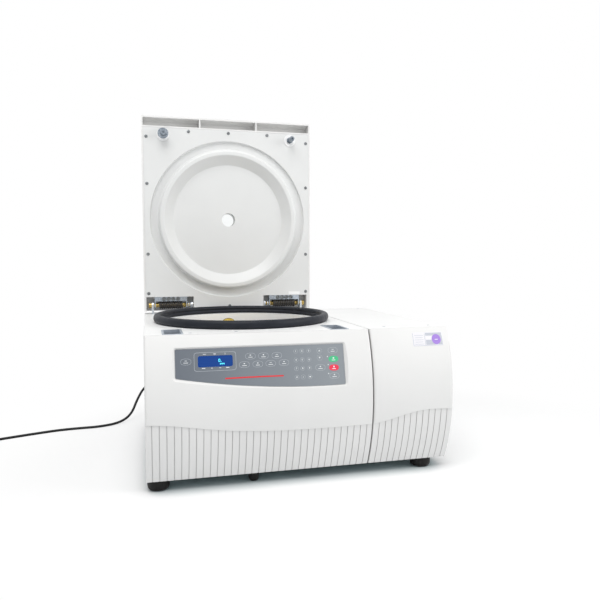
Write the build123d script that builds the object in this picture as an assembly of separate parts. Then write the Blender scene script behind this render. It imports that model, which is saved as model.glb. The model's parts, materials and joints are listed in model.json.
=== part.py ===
from build123d import *
import math
import os

# Benchtop refrigerated centrifuge with a swing-out rotor for microplates, lid open.
# Millimetres, +Z up. The front faces -Y. The origin is on the bench, under the middle
# of the body: x = 0 halves its width and y = 0 halves its depth.

os.makedirs("parts", exist_ok=True)

# ---------------------------------------------------------------- driving sizes
# body
body_width = 750.0
body_depth = 650.0
deck_height = 365.0          # bench to the top of the deck
foot_height = 27.0           # bench to the underside of the body
front_bulge = 39.0           # how far the arched front stands out of its top edge
chamber_section_width = 536.7
section_gap = 3.0            # dark joint between the two sections
moulding_wall = 4.0
moulding_return = 8.0        # how far the mouldings reach behind the front top edge
moulding_edge = 5.0          # rounding of the mouldings' outer edges
panel_sheet = 2.0            # steel sheet of the sides and the rear
deck_thickness = 4.0
deck_edge = 3.0
pan_sheet = 3.0
pan_flange = 25.0
joint_gap = 0.5              # play between neighbouring covers

# ribbed lower front
rib_setback = 2.5
rib_pitch = 16.4
groove_width = 1.9
groove_depth = 1.8
left_groove_count = 32
right_groove_count = 12
wave_left_end = 170.5        # height of the wave line at the left edge
wave_low = 136.0             # its lowest stretch, at the section joint
wave_crest = 164.5           # its height on the right section
wave_right_end = 163.0

# control panel in its recess
panel_from_left = 67.4
panel_width = 400.0
panel_top = 334.5            # heights of the recess floor's upper and lower edge
panel_bottom = 239.0
panel_left_height = 66.4     # the panel is low at its left end and full height at its right
panel_sag = 9.8              # belly of the panel's curved lower edge
panel_corner = 3.0
panel_depth = 3.6
bevel_angle = 48.0
membrane_thickness = 1.2
recess_back = 3.0            # wall left behind the recess floor
board_gap = 12.0             # control board behind that wall
board_sheet = 1.6
board_inset = 15.0
board_height = 50.0
board_post = 5.0
window_left = 51.0           # display window, from the membrane's left end
window_width = 80.0
window_height = 26.0
window_rise = 19.0           # its middle above the membrane's mid line
window_corner = 4.0
window_ledge = 2.0           # the window rests on this much of the recess floor

# lid, in its open position
lid_length = 606.6
lid_thickness = 55.0
lid_wall = 5.0
lid_skin = 4.0
lid_corner = 6.0
lip_radius = 34.0            # rounding from the lid's outer skin into its front lip
hinge_from_rear = 45.4       # hinge axis, from the rear panel
hinge_rise = 27.0            # hinge axis above the deck
plate_ahead = 14.0           # inner plate's face ahead of the hinge axis
lid_tail = 19.4              # hinge axis to the lid's hinge edge
channel_height = 25.2        # finger channel behind the front lip
channel_depth = 40.0
bulkhead = 4.0
channel_rib = 4.0
liner_thickness = 3.0
plate_ledge = 12.0           # ledge in the shell that carries the inner plate
plate_gap = 0.4

# dished lid plate, all radii about the chamber axis
dish_centre_from_hinge = 271.6
seal_recess_radius = 247.0
seal_recess_depth = 10.0
crest_outer = 219.0
crest_inner = 198.5
crest_height = 10.5
crest_shoulder = 5.5
crest_round = 5.0
dish_floor_radius = 175.0
dish_floor_depth = 14.0
dish_sheet = 3.5
dish_lap = 1.5               # the dish joins the plate around the recess
port_radius = 21.3
port_window = 3.0
screw_inset = 14.5
screw_rises = (252.0, 108.0, -110.0, -233.5)  # from the dish's middle
screw_row_pitch = 125.0
screw_row_inset = 9.0
screw_head = 3.6
screw_head_height = 1.4

# hinges
hinge_offset_left = -188.4   # middle of each hinge pocket from the lid's middle
hinge_offset_right = 184.0
pocket_width = 146.0
pocket_height = 46.4         # from the lid's hinge edge
pocket_depth = 42.0
pocket_wall = 3.0
bracket_seat = 4.5            # bracket web behind the face of the inner plate
pin_radius = 6.0
pin_head = 9.0               # length of the pin's head
pin_head_step = 2.5
running_clearance = 0.05
stand_thickness = 6.0
stand_radius = 11.0
stand_base = 3.0
stand_outer = 16.0           # outer face of the outer stand from the pocket's outer wall
stand_reach = 16.0           # half the length of a stand's base
stand_span = 128.0           # outer face of the outer stand to outer face of the inner one
bracket_sheet = 3.0
bracket_outer = 25.0         # bracket's outer ear from the pocket's outer wall
bracket_width = 101.0
bracket_radius = 10.0
ear_top = 22.0               # depth of the bracket's ears at the web's upper edge
block_gap = 0.3
bushing_gap = 0.5
bracket_web_gap = 0.6        # bracket web above the spring
web_hole_radius = 3.6
web_hole_pitch = 14.5
web_hole_count = 4
spring_radius = 12.0
spring_bore = 7.0
bushing_radius = 9.0
bushing_length = 7.5

# chamber
bowl_radius = 212.0
bowl_sheet = 2.0
bowl_floor = 215.0
bowl_corner = 22.0
bowl_flange_radius = 243.0
bowl_rim = 1.0               # its flange above the deck
hub_opening = 42.0
hub_collar = 14.0
deck_opening = 218.0
gasket_radius = 233.6        # middle of the rubber section
gasket_width = 20.0
gasket_height = 25.0
gasket_round = 6.0
seat_gap = 0.3               # clearance of pieces that sit in or beside each other
jacket_thickness = 4.0
jacket_low = 245.0
jacket_high = 335.0
foam_thickness = 20.0
armour_thickness = 4.0
armour_low = 196.0

# drive and swing-out rotor
rotor_rest_angle = 96.8      # first yoke arm, from +X
arm_radius = 153.0
boss_radius = 20.0
boss_rise = 11.0             # top of the bosses above the arms
boss_dome = 10.0
dome_shoulder = 0.72         # shoulder of the dome, as parts of its radius and height
dome_fall = 0.3
arm_root_width = 34.0
arm_tip_width = 22.0
arm_above_pivot = 10.0
arm_thickness = 20.0
hub_radius = 40.0
hub_depth = 38.0
hub_waist = 8.0              # arms reach this far into the hub
trunnion_height = 312.0
trunnion_radius = 128.0      # carrier pivots from the rotor axis
trunnion_stub_radius = 6.0
carrier_length = 129.0       # inside, room for a microplate's long side
carrier_width = 87.0
carrier_wall = 2.5
carrier_depth = 52.0         # pivot to the inside floor
carrier_rise = 5.0           # walls above the pivot
carrier_corner = 6.0
window_sill = 14.0           # plate grip windows from the floor and from the pivot
ear_depth = 24.0             # ear below the pivot
ear_thickness = 6.0
ear_half_width = 15.0
lug_gap = 2.0
lug_length = 26.0
stub_reach = 1.0             # trunnion stub past the ear's inner face
lug_radius = 10.0
spindle_radius = 14.0
spindle_flange_radius = 26.0
spindle_flange = 10.0
stud_radius = 10.0           # threaded stud through the hub
stud_above = 4.0             # stud above the hub, inside the knob
knob_radius = 24.0
knob_height = 16.0
knob_chamfer = 5.0
motor_radius = 68.0
motor_low = 48.0
motor_high = 176.0
mount_plate = 6.0
isolator_radius = 7.0
isolator_height = 14.0
motor_flange = 22.0
motor_floor = 14.0           # metal left under the spindle
mount_clearance = 3.0
mount_radius = 112.0
leg_thickness = 8.0
first_leg = 30.0             # angle of the first leg of three
leg_width = 26.0

# latches
latch_slot_width = 38.0
latch_slot_length = 87.5
latch_slot_front = 16.5      # slot's front edge behind the front top edge
bezel_rim = 3.0
bezel_proud = 1.0
bezel_lip = 2.5              # its flange past the rim, on the deck
bezel_depth = 22.0           # below the deck's underside
latch_left = 65.0            # latch centres from the body's left side
latch_right = 468.0
striker_from_hinge = 530.5   # striker axis from the hinge axis, along the lid
striker_post = 5.0
striker_reach = 26.0
striker_disc = 16.3
striker_disc_thickness = 3.0
striker_head = 8.0
striker_head_height = 5.0
bolt_head_height = 12.0      # the right striker's taller head
bolt_collar_radius = 9.0
bolt_collar_height = 5.0
bolt_clearance = 7.0         # latch tie bar below the striker heads
cup_radius = 19.0
cup_height = 2.0
latch_travel = 18.0
latch_sheet = 3.0
latch_bar_width = 16.0
fork_width = 30.0
fork_rise = 1.0              # fork above the striker's disc when the lid is shut
fork_slot = 6.5              # half width of the fork's slot, around the striker's post
fork_stand_off = 3.0         # fork tips from the striker's disc when unlatched
fork_play = 0.4
actuator_length = 68.0
actuator_width = 18.0
actuator_height = 34.0
actuator_bracket = 4.0

# rear, side and inner pieces
louvre_pitch = 14.0
louvre_height = 5.0
louvre_length = 90.0
louvre_count = 13            # in each column
louvre_low = 62.0            # lowest slot above the underside
side_columns = (-60.0, 40.0, 140.0)
rear_columns = (210.0, 310.0)
switch_width = 22.0
switch_height = 30.0
switch_depth = 18.0
switch_wall = 2.4
switch_from_front = 90.0
switch_z = 110.0
rocker_tilt = 8.0
rocker_inset = 9.5           # rocker axis behind the side panel's face
rocker_stub = 1.5
rocker_face = 6.2            # rocker's face from its axis
rocker_back = 3.0
rocker_shy = 1.4
rocker_play = 0.4
fan_radius = 84.0
fan_hub_radius = 26.0
blade_count = 5
fan_shaft = 4.0
fan_depth = 16.0
blade_pitch = 38.0
blade_width = 26.0
shroud_depth = 24.0
shroud_margin = 12.0
spider_bar = 8.0
condenser_size = (34.0, 300.0, 220.0)
condenser_y = 40.0
compressor_x = 250.0
compressor_from_rear = 85.0
compressor_radius = 72.0
compressor_height = 190.0
compressor_dome = 34.0
compressor_feet = 12.0
compressor_foot_radius = 9.0
compressor_foot_x = 0.75     # its feet and flat top, as parts of its radius
compressor_foot_y = 0.55
dome_flat = 0.6
electrics_from_front = 45.0
transformer_inset = 30.0
transformer_margin = 70.3    # room for the fan, from the right side panel
transformer_depth = 80.0
transformer_height = 90.0
transformer_winding = 14.0
module_inset = 24.0
module_size = (120.0, 80.0, 60.0)
module_base = 10.0
fin_sheet = 3.0
fin_count = 6
large_foot_radius = 26.0
small_foot_radius = 12.5
foot_sole = 0.6              # sole and belly of a foot, as parts of its radius
foot_belly = 0.93
foot_belly_rise = 0.42
foot_inset_left = 28.0
foot_inset_right = 55.0
foot_inset_front = 33.0
foot_inset_rear = 40.0
middle_foot_from_left = 254.0

# mains lead
cord_diameter = 8.0
cord_exit_from_left = 62.0
relief_length = 46.0
relief_radius = 9.0
relief_step = 2.0
relief_flange = 4.0
coil_turn_radius = 44.0
coil_height = 33.0
lead_steps = (
    # the lead's points: to the right of its exit, behind the relief's tip, above the bench
    (0.0, 0.0, 132.0), (0.0, 41.0, 132.0), (-30.0, 73.0, 124.0), (-70.0, 73.0, 97.0), (-94.0, 51.0, 60.0),
    (-117.0, 15.0, 24.0), (-155.0, -25.0, 6.0), (-209.0, -57.0, 4.0), (-267.0, -59.0, 4.0), (-327.0, -66.0, 4.0),
    (-393.0, -89.0, 4.0), (-459.0, -114.0, 4.0), (-519.0, -139.0, 4.0), (-560.0, -146.0, 4.0),
)
bend_share = 0.45            # part of the shorter run that a bend takes up
plug_length = 46.0
plug_neck = 20.0
plug_neck_radius = 6.0
plug_width = 24.0
plug_thickness = 19.0
plug_height = 12.0
blade_offset = 6.3           # flat pins from the plug's middle
blade_length = 18.0
blade_sheet = 1.6
blade_height = 6.4
blade_drop = 2.0
earth_radius = 2.4           # round earth pin
earth_rise = 5.5
tail_length = 4.0

# ---------------------------------------------------------------- places that follow
left_x = -body_width / 2
right_x = body_width / 2
rear_y = body_depth / 2
front_y = -body_depth / 2
edge_y = front_y + front_bulge              # the front's top and bottom edge
mid_z = (deck_height + foot_height) / 2
half_rise = (deck_height - foot_height) / 2
arch_radius = (half_rise ** 2 + front_bulge ** 2) / (2 * front_bulge)
arch_y = front_y + arch_radius              # centre of the front's arch
joint_x = left_x + chamber_section_width
service_x = joint_x + section_gap
back_y = edge_y + moulding_return

lid_width = chamber_section_width
lid_x = left_x + lid_width / 2
hinge_y = rear_y - hinge_from_rear
hinge_z = deck_height + hinge_rise
plate_y = hinge_y - plate_ahead
skin_y = plate_y + lid_thickness
lid_low = hinge_z - lid_tail
lid_high = lid_low + lid_length
dish_z = hinge_z + dish_centre_from_hinge
axis_x = lid_x
axis_y = hinge_y - dish_centre_from_hinge
channel_low = lid_high - lid_wall - channel_height
plate_high = channel_low - bulkhead
lid_axis = Axis((lid_x, plate_y, dish_z), (0, 1, 0))
hinge_sides = ((lid_x + hinge_offset_left, 1), (lid_x + hinge_offset_right, -1))
seat_low = lid_low + lid_wall
seat_x = (left_x + lid_wall, joint_x - lid_wall)
cavity_x = (seat_x[0] + plate_ledge, seat_x[1] - plate_ledge)
cavity_z = (seat_low + plate_ledge, plate_high - plate_ledge / 2)
pocket_high = lid_low + pocket_height
pocket_back = plate_y + pocket_depth
dish_back = dish_floor_depth + dish_sheet
web_y = plate_y + bracket_seat
web_low = hinge_z + spring_radius + bracket_web_gap
web_high = pocket_high

striker_y = hinge_y - striker_from_hinge
striker_z = hinge_z + striker_from_hinge
slot_y = edge_y + latch_slot_front + latch_slot_length / 2
slot_places = ((left_x + latch_left, slot_y), (left_x + latch_right, slot_y))
deck_underside = deck_height - deck_thickness
shut_plate_z = hinge_z - plate_ahead        # the lid's inner plate when the lid is shut
fork_low = shut_plate_z - striker_reach + striker_disc_thickness + fork_rise
fork_high = fork_low + latch_sheet
lowest_head = shut_plate_z - striker_reach - bolt_head_height
tie_high = lowest_head - bolt_clearance
tie_low = tie_high - latch_sheet

arm_low = trunnion_height + arm_above_pivot
arm_high = arm_low + arm_thickness
boss_top = arm_high + boss_rise
hub_low = arm_high - hub_depth
spindle_low = motor_low + motor_floor
ear_outer = carrier_length / 2 + ear_thickness
lug_start = ear_outer + lug_gap

pan_top = foot_height + pan_sheet
condenser_outer = right_x - panel_sheet - pan_sheet - seat_gap
condenser_inner = condenser_outer - condenser_size[0]
fan_z = pan_top + condenser_size[2] / 2
shroud_low = condenser_inner - shroud_depth
cord_x = left_x + cord_exit_from_left
cord_exit_height = lead_steps[0][2]
relief_tip = rear_y + relief_length
coil_x = cord_x + lead_steps[-1][0]
coil_front_y = relief_tip + lead_steps[-1][1]
compressor_y = rear_y - compressor_from_rear
switch_y = edge_y + switch_from_front
coil_y = coil_front_y - coil_turn_radius


panel_mid_z = (panel_top + panel_bottom) / 2


def arch_y_at(z, inset=0.0):
    """Where the arched front lies at a height, pulled in by an inset."""
    return arch_y - math.sqrt((arch_radius - inset) ** 2 - (z - mid_z) ** 2)


panel_top_y = arch_y_at(panel_top)
panel_bottom_y = arch_y_at(panel_bottom)
panel_rise = math.hypot(panel_top - panel_bottom, panel_top_y - panel_bottom_y)
panel_lean = math.atan2(panel_top_y - panel_bottom_y, panel_top - panel_bottom)
panel_face = Plane(
    origin=(left_x + panel_from_left, (panel_top_y + panel_bottom_y) / 2, panel_mid_z),
    x_dir=(1, 0, 0),
    z_dir=(0, -math.cos(panel_lean), math.sin(panel_lean)),
)
panel_floor = panel_face.offset(-panel_depth)


def save(node, shape):
    """Write one sub-part as parts/NODE.step."""
    export_step(shape, f"parts/{node}.step")


def box(x, y, z):
    """A box from pairs of limits."""
    size = [limits[1] - limits[0] for limits in (x, y, z)]
    middle = [(limits[1] + limits[0]) / 2 for limits in (x, y, z)]
    return Pos(*middle) * Box(*size)


def rod(centre, direction, radius, length):
    """A cylinder that starts at a centre and runs along a direction."""
    return extrude(Plane(origin=centre, z_dir=direction) * Circle(radius), amount=length)


def ring(inner, outer, low, high):
    """A ring about the chamber axis."""
    band = Circle(outer) - Circle(inner)
    return extrude(Plane((axis_x, axis_y, low)) * band, amount=high - low)


def side_profile(points, x, width):
    """A prism with an outline of (y, z) points, from x towards +X."""
    face = make_face(Polyline(*points, close=True))
    return extrude(Plane((x, 0, 0), x_dir=(0, 1, 0), z_dir=(1, 0, 0)) * face, amount=width)


def spun(points, axis_plane):
    """A solid of revolution; points are (radius, height) in the given plane."""
    face = make_face(Polyline(*points, close=True))
    turned = axis_plane * Plane.XZ * face
    return revolve(turned, Axis(axis_plane.origin, axis_plane.z_dir), 360)


# ---------------------------------------------------------------- front mouldings
def front_section(inset, back):
    """Side view of a moulding: an arched front, flat top and bottom, open to the rear."""
    low = foot_height + inset
    high = deck_height - inset
    top = (arch_y_at(high, inset), high)
    bottom = (arch_y_at(low, inset), low)
    belly = (front_y + inset, mid_z)
    outline = Polyline(bottom, (back, low), (back, high), top) + ThreePointArc(top, belly, bottom)
    return make_face(outline)


def across(face, x, width):
    """Extrude a side view along X."""
    return extrude(Plane((x, 0, 0), x_dir=(0, 1, 0), z_dir=(1, 0, 0)) * face, amount=width)


def arch_skin(depth, x, width):
    """The outermost skin of the arched front, down to a depth, with room outside it."""
    room = 6.0
    outer = Circle(arch_radius + room) - Circle(arch_radius - depth)
    near = Pos(front_y + front_bulge / 2 - arch_y, 0) * Rectangle(front_bulge + 4 * room, body_width)
    return across(Pos(arch_y, mid_z) * (outer & near), x, width)


def below_wave(x_low, x_high, curve):
    """Everything in front that lies below a wave line, seen from the front."""
    start = curve @ 0
    end = curve @ 1
    floor_z = foot_height - 10.0
    outline = curve + Polyline((end.X, end.Y), (x_high, floor_z), (x_low, floor_z), (start.X, start.Y))
    region = make_face(outline)
    return extrude(Plane.XZ.offset(-edge_y - moulding_edge) * region, amount=front_bulge + 3 * moulding_edge)


def wave_left():
    """Wave line of the chamber section: high at the left, falling to a long low stretch."""
    x_low = left_x - 1.0
    x_high = joint_x + 1.0
    span = x_high - x_low
    points = [
        (x_low, wave_left_end),
        (x_low + 0.29 * span, 0.4 * wave_left_end + 0.6 * wave_low),
        (x_low + 0.64 * span, wave_low),
        (x_high, wave_low + 1.0),
    ]
    return Spline(*points, tangents=[(1, -0.04), (1, 0.02)])


def wave_right():
    """Wave line of the service section: it climbs to a crest and runs level."""
    x_low = service_x - 1.0
    x_high = right_x + 1.0
    span = x_high - x_low
    points = [
        (x_low, wave_low + 1.0),
        (x_low + 0.38 * span, 0.34 * wave_low + 0.66 * wave_crest),
        (x_low + 0.68 * span, wave_crest),
        (x_high, wave_right_end),
    ]
    return Spline(*points, tangents=[(1, 0.1), (1, -0.02)])


def moulding(x_low, x_high, curve, grooves):
    """An arched front shell with its ribbed lower part set back below the wave line."""
    width = x_high - x_low
    shell = across(front_section(0.0, back_y), x_low, width)
    ends = [edge for edge in shell.edges() if edge.geom_type == GeomType.CIRCLE]
    shell = fillet(ends, moulding_edge)
    below = below_wave(x_low - 2.0, x_high + 2.0, curve)
    shell -= below & arch_skin(rib_setback, x_low - 1.0, width + 2.0)
    hollow = front_section(moulding_wall + rib_setback, back_y + 1.0)
    shell -= across(hollow, x_low + moulding_wall, width - 2 * moulding_wall)
    middle = (x_low + x_high) / 2
    places = [middle + (n - (grooves - 1) / 2) * rib_pitch for n in range(grooves)]
    slices = Part() + [
        box((x - groove_width / 2, x + groove_width / 2), (front_y - 1, back_y), (foot_height - 1, mid_z))
        for x in places
    ]
    skin = below & arch_skin(rib_setback + groove_depth, x_low - 1.0, width + 2.0)
    return shell - (skin & slices)


def panel_outline(margin=0.0):
    """The control panel: straight top and ends, a bellied lower edge, low at the left."""
    top = panel_rise / 2 - margin
    left = margin
    right = panel_width - margin
    left_foot = panel_rise / 2 - panel_left_height + margin
    right_foot = -panel_rise / 2 + margin
    belly = (panel_width * 0.48, (left_foot + right_foot) / 2 - panel_sag)
    outline = Polyline((right, right_foot), (right, top), (left, top), (left, left_foot))
    outline += ThreePointArc((left, left_foot), belly, (right, right_foot))
    face = make_face(outline)
    return fillet(face.vertices(), panel_corner)


def window_outline(margin=0.0):
    """The display window's rounded rectangle, on the membrane."""
    middle = (window_left + window_width / 2, window_rise)
    return Pos(*middle) * RectangleRounded(window_width + margin, window_height + margin, window_corner)


def make_front():
    left = moulding(left_x, joint_x, wave_left(), left_groove_count)
    backing = panel_floor.offset(-recess_back) * panel_outline(-panel_depth)
    boss = extrude(backing, amount=panel_depth + 3 * recess_back)
    boss &= across(front_section(seat_gap, back_y), left_x + moulding_wall, chamber_section_width
                   - 2 * moulding_wall)
    left += boss
    left -= extrude(panel_floor * panel_outline(), amount=4 * panel_depth, taper=-bevel_angle)
    through = panel_floor.offset(-2 * recess_back) * window_outline(-window_ledge)
    left -= extrude(through, amount=3 * recess_back)
    save("front_left_moulding", left)
    save("front_right_moulding", moulding(service_x, right_x, wave_right(), right_groove_count))

    membrane = extrude(panel_floor * panel_outline(joint_gap), amount=membrane_thickness)
    membrane -= extrude(panel_floor * window_outline(), amount=2 * membrane_thickness, both=True)
    save("keypad_membrane", membrane)
    window = extrude(panel_floor * window_outline(-joint_gap), amount=membrane_thickness)
    window += extrude(panel_floor.offset(-recess_back) * window_outline(-window_ledge - joint_gap),
                      amount=recess_back)
    save("display_window", window)

    board_plane = panel_floor.offset(-recess_back - board_gap)
    inset = board_inset
    board_high = panel_rise / 2 - inset
    board = extrude(board_plane * (Pos(panel_width / 2, board_high - board_height / 2)
                                   * Rectangle(panel_width - 2 * inset, board_height)), amount=board_sheet)
    for x in (2 * inset, panel_width - 2 * inset):
        for y in (board_high - inset / 2, board_high - board_height + inset / 2):
            board += extrude(board_plane * (Pos(x, y) * Rectangle(board_post, board_post)), amount=board_gap)
    display = Pos(window_left + window_width / 2, window_rise) * Rectangle(
        window_width - 4 * window_ledge, window_height - 4 * window_ledge)
    board += extrude(board_plane * display, amount=board_gap - seat_gap)
    save("control_board", board)


# ---------------------------------------------------------------- covers and pan



def louvres(x, y, along_x):
    """Cutters for a column of ventilation slots."""
    cutters = Part()
    for n in range(louvre_count):
        low = foot_height + louvre_low + n * louvre_pitch
        size_x = louvre_length if along_x else 4 * panel_sheet
        size_y = 4 * panel_sheet if along_x else louvre_length
        cutters += Pos(x, y, low) * Box(size_x, size_y, louvre_height)
    return cutters


def make_covers():
    top = (deck_height - deck_thickness, deck_height)
    deck_x = (left_x, joint_x)
    deck_y = (back_y + joint_gap, rear_y)
    deck = box(deck_x, deck_y, top)
    deck = fillet(deck.edges().filter_by(Axis.Y).group_by(Axis.Z)[-1].sort_by(Axis.X)[0], deck_edge)
    deck = fillet(deck.edges().filter_by(Axis.X).group_by(Axis.Z)[-1].sort_by(Axis.Y)[-1], deck_edge)
    deck -= rod((axis_x, axis_y, top[0] - 1), (0, 0, 1), deck_opening, deck_thickness + 2)
    for x, y in slot_places:
        opening = Pos(x, y, deck_height) * Box(latch_slot_width + 2 * bezel_rim, latch_slot_length
                                               + 2 * bezel_rim, 4 * deck_thickness)
        deck -= opening
    save("deck_cover", deck)

    cover = box((service_x, right_x), deck_y, top)
    cover = fillet(cover.edges().filter_by(Axis.Y).group_by(Axis.Z)[-1].sort_by(Axis.X)[-1], deck_edge)
    cover = fillet(cover.edges().filter_by(Axis.X).group_by(Axis.Z)[-1].sort_by(Axis.Y)[-1], deck_edge)
    save("right_top_cover", cover)

    wall_z = (foot_height, top[0])
    wall_y = (back_y + joint_gap, rear_y - panel_sheet)
    save("left_side_panel", box((left_x, left_x + panel_sheet), wall_y, wall_z))
    right = box((right_x - panel_sheet, right_x), wall_y, wall_z)
    for column in side_columns:
        right -= louvres(right_x, column, False)
    right -= switch_opening()
    save("right_side_panel", right)

    rear = box((left_x, right_x), (rear_y - panel_sheet, rear_y), wall_z)
    for column in rear_columns:
        rear -= louvres(column, rear_y, True)
    rear -= rod((cord_x, rear_y, cord_exit_height), (0, -1, 0), relief_radius - relief_step, 2 * panel_sheet)
    save("rear_panel", rear)

    inner = left_x + panel_sheet
    pan_x = (inner, -inner)
    pan_y = (back_y + joint_gap, rear_y - panel_sheet)
    pan_z = (foot_height, foot_height + pan_flange)
    pan = box(pan_x, pan_y, pan_z)
    pan -= box(
        (pan_x[0] + pan_sheet, pan_x[1] - pan_sheet),
        (pan_y[0] + pan_sheet, pan_y[1] - pan_sheet),
        (pan_z[0] + pan_sheet, pan_z[1] + 1),
    )
    save("base_pan", pan)


# ---------------------------------------------------------------- feet
def foot(x, y, radius):
    """A rubber foot like an upturned dome: wide at its top, drawn in below."""
    points = [
        (0, 0), (foot_sole * radius, 0), (foot_belly * radius, foot_belly_rise * foot_height),
        (radius, foot_height), (0, foot_height),
    ]
    return spun(points, Plane((x, y, 0)))


def make_feet():
    """Four corner feet and a smaller one under the front of the chamber section."""
    rear = rear_y - foot_inset_rear
    front = edge_y + foot_inset_front
    feet = [foot(left_x + middle_foot_from_left, front, small_foot_radius)]
    for x in (left_x + foot_inset_left, right_x - foot_inset_right):
        for y in (front, rear):
            feet.append(foot(x, y, large_foot_radius))
    save("feet", Compound(children=feet))


# ---------------------------------------------------------------- chamber
def make_chamber():
    wall = bowl_radius + bowl_sheet
    rim = deck_height + bowl_rim
    under = bowl_floor - bowl_sheet
    hub = hub_opening - bowl_sheet
    points = [
        (bowl_radius, rim), (bowl_flange_radius, rim), (bowl_flange_radius, deck_height), (wall, deck_height),
        (wall, bowl_floor + bowl_corner), (wall - bowl_corner, under), (hub, under),
        (hub, bowl_floor + hub_collar), (hub_opening, bowl_floor + hub_collar), (hub_opening, bowl_floor),
        (bowl_radius - bowl_corner, bowl_floor), (bowl_radius, bowl_floor + bowl_corner),
    ]
    save("bowl", spun(points, Plane((axis_x, axis_y, 0))))

    seat = rim + seat_gap
    low = gasket_radius - gasket_width / 2
    high = gasket_radius + gasket_width / 2
    top = seat + gasket_height
    section = [
        (low, seat), (high, seat), (high, top - gasket_round), (high - gasket_round, top),
        (low + gasket_round, top), (low, top - gasket_round),
    ]
    save("gasket", spun(section, Plane((axis_x, axis_y, 0))))

    jacket = wall + seat_gap
    foam = jacket + jacket_thickness + seat_gap
    armour = foam + foam_thickness + seat_gap
    save("evaporator_jacket", ring(jacket, jacket + jacket_thickness, jacket_low, jacket_high))
    save("bowl_insulation", ring(foam, foam + foam_thickness, bowl_floor, deck_underside))
    save("armour_ring", ring(armour, armour + armour_thickness, armour_low, deck_underside))


# ---------------------------------------------------------------- drive and rotor
def make_drive():
    motor = rod((axis_x, axis_y, motor_low), (0, 0, 1), motor_radius, motor_high - motor_low)
    flange_low = motor_high - 2 * mount_plate
    motor += ring(motor_radius - 1, motor_radius + motor_flange, flange_low, flange_low + mount_plate)
    bearing = spindle_radius + running_clearance
    motor -= rod((axis_x, axis_y, spindle_low - seat_gap), (0, 0, 1), bearing, motor_high - motor_low)
    save("drive_motor", motor)

    plate_z = flange_low - isolator_height
    plate = ring(motor_radius + mount_clearance, mount_radius, plate_z - mount_plate, plate_z)
    isolators = []
    for n in range(3):
        turn = Pos(axis_x, axis_y, 0) * Rot(0, 0, first_leg + 120 * n)
        spot = turn * Pos(motor_radius + motor_flange - isolator_radius - 1, 0, plate_z + isolator_height / 2)
        isolators.append(spot * Cylinder(isolator_radius, isolator_height))
        leg_z = (pan_top + plate_z) / 2
        leg = Box(leg_thickness, leg_width, plate_z - pan_top)
        plate += turn * Pos(mount_radius - leg_thickness, 0, leg_z) * leg
    save("motor_mount", plate)
    save("motor_isolators", Compound(children=isolators))

    spindle = rod((axis_x, axis_y, spindle_low), (0, 0, 1), spindle_radius, hub_low - spindle_low)
    seat = (axis_x, axis_y, hub_low - spindle_flange)
    spindle += rod(seat, (0, 0, 1), spindle_flange_radius, spindle_flange)
    spindle += rod((axis_x, axis_y, hub_low), (0, 0, 1), stud_radius, arm_high + stud_above - hub_low)
    save("drive_spindle", spindle)


def rotor_place(angle):
    """The rotor's own frame, turned to one arm or carrier."""
    return Pos(axis_x, axis_y, 0) * Rot(0, 0, rotor_rest_angle + angle)


def yoke_arm():
    """One arm along +X: a tapered beam that ends in a domed boss."""
    root = hub_radius - hub_waist
    beam = make_face(Polyline(
        (root, arm_root_width / 2), (arm_radius, arm_tip_width / 2),
        (arm_radius, -arm_tip_width / 2), (root, -arm_root_width / 2), close=True))
    arm = extrude(Plane((0, 0, arm_low)) * beam, amount=arm_high - arm_low)
    foot_z = trunnion_height - lug_radius
    points = [
        (0, foot_z), (boss_radius, foot_z), (boss_radius, boss_top - boss_dome),
        (dome_shoulder * boss_radius, boss_top - dome_fall * boss_dome), (0, boss_top),
    ]
    return arm + spun(points, Plane((arm_radius, 0, 0)))


def lug(side):
    """A lug on the arm's end with the turned trunnion stub that carries one carrier."""
    spot = (trunnion_radius, lug_start, trunnion_height)
    body = rod(spot, (0, 1, 0), lug_radius, lug_length)
    body += box(
        (trunnion_radius - lug_radius, trunnion_radius + lug_radius), (lug_start, lug_start + lug_length),
        (trunnion_height, arm_high),
    )
    inner = carrier_length / 2 - stub_reach
    stub = (trunnion_radius, inner, trunnion_height)
    body += rod(stub, (0, 1, 0), trunnion_stub_radius, lug_start + 1 - inner)
    turned = Rot(0, 0, -45) * body
    return turned if side > 0 else mirror(turned, Plane.XZ)


def make_rotor():
    arm = yoke_arm() + lug(1) + lug(-1)
    yoke = rod((0, 0, hub_low), (0, 0, 1), hub_radius, hub_depth)
    for n in range(4):
        yoke += Rot(0, 0, 90 * n) * arm
    yoke -= rod((0, 0, hub_low), (0, 0, 1), stud_radius, 2 * hub_depth)
    save("rotor_yoke", rotor_place(0) * yoke)
    for n in range(4):
        save(f"plate_carrier_{n + 1}", rotor_place(45 + 90 * n) * carrier())

    low = arm_high + seat_gap
    points = [
        (0, low), (knob_radius, low), (knob_radius, low + knob_height - knob_chamfer),
        (knob_radius - knob_chamfer, low + knob_height), (0, low + knob_height),
    ]
    knob = spun(points, Plane((axis_x, axis_y, 0)))
    knob -= rod((axis_x, axis_y, low), (0, 0, 1), stud_radius + running_clearance, stud_above)
    save("tie_down_knob", knob)


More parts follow.
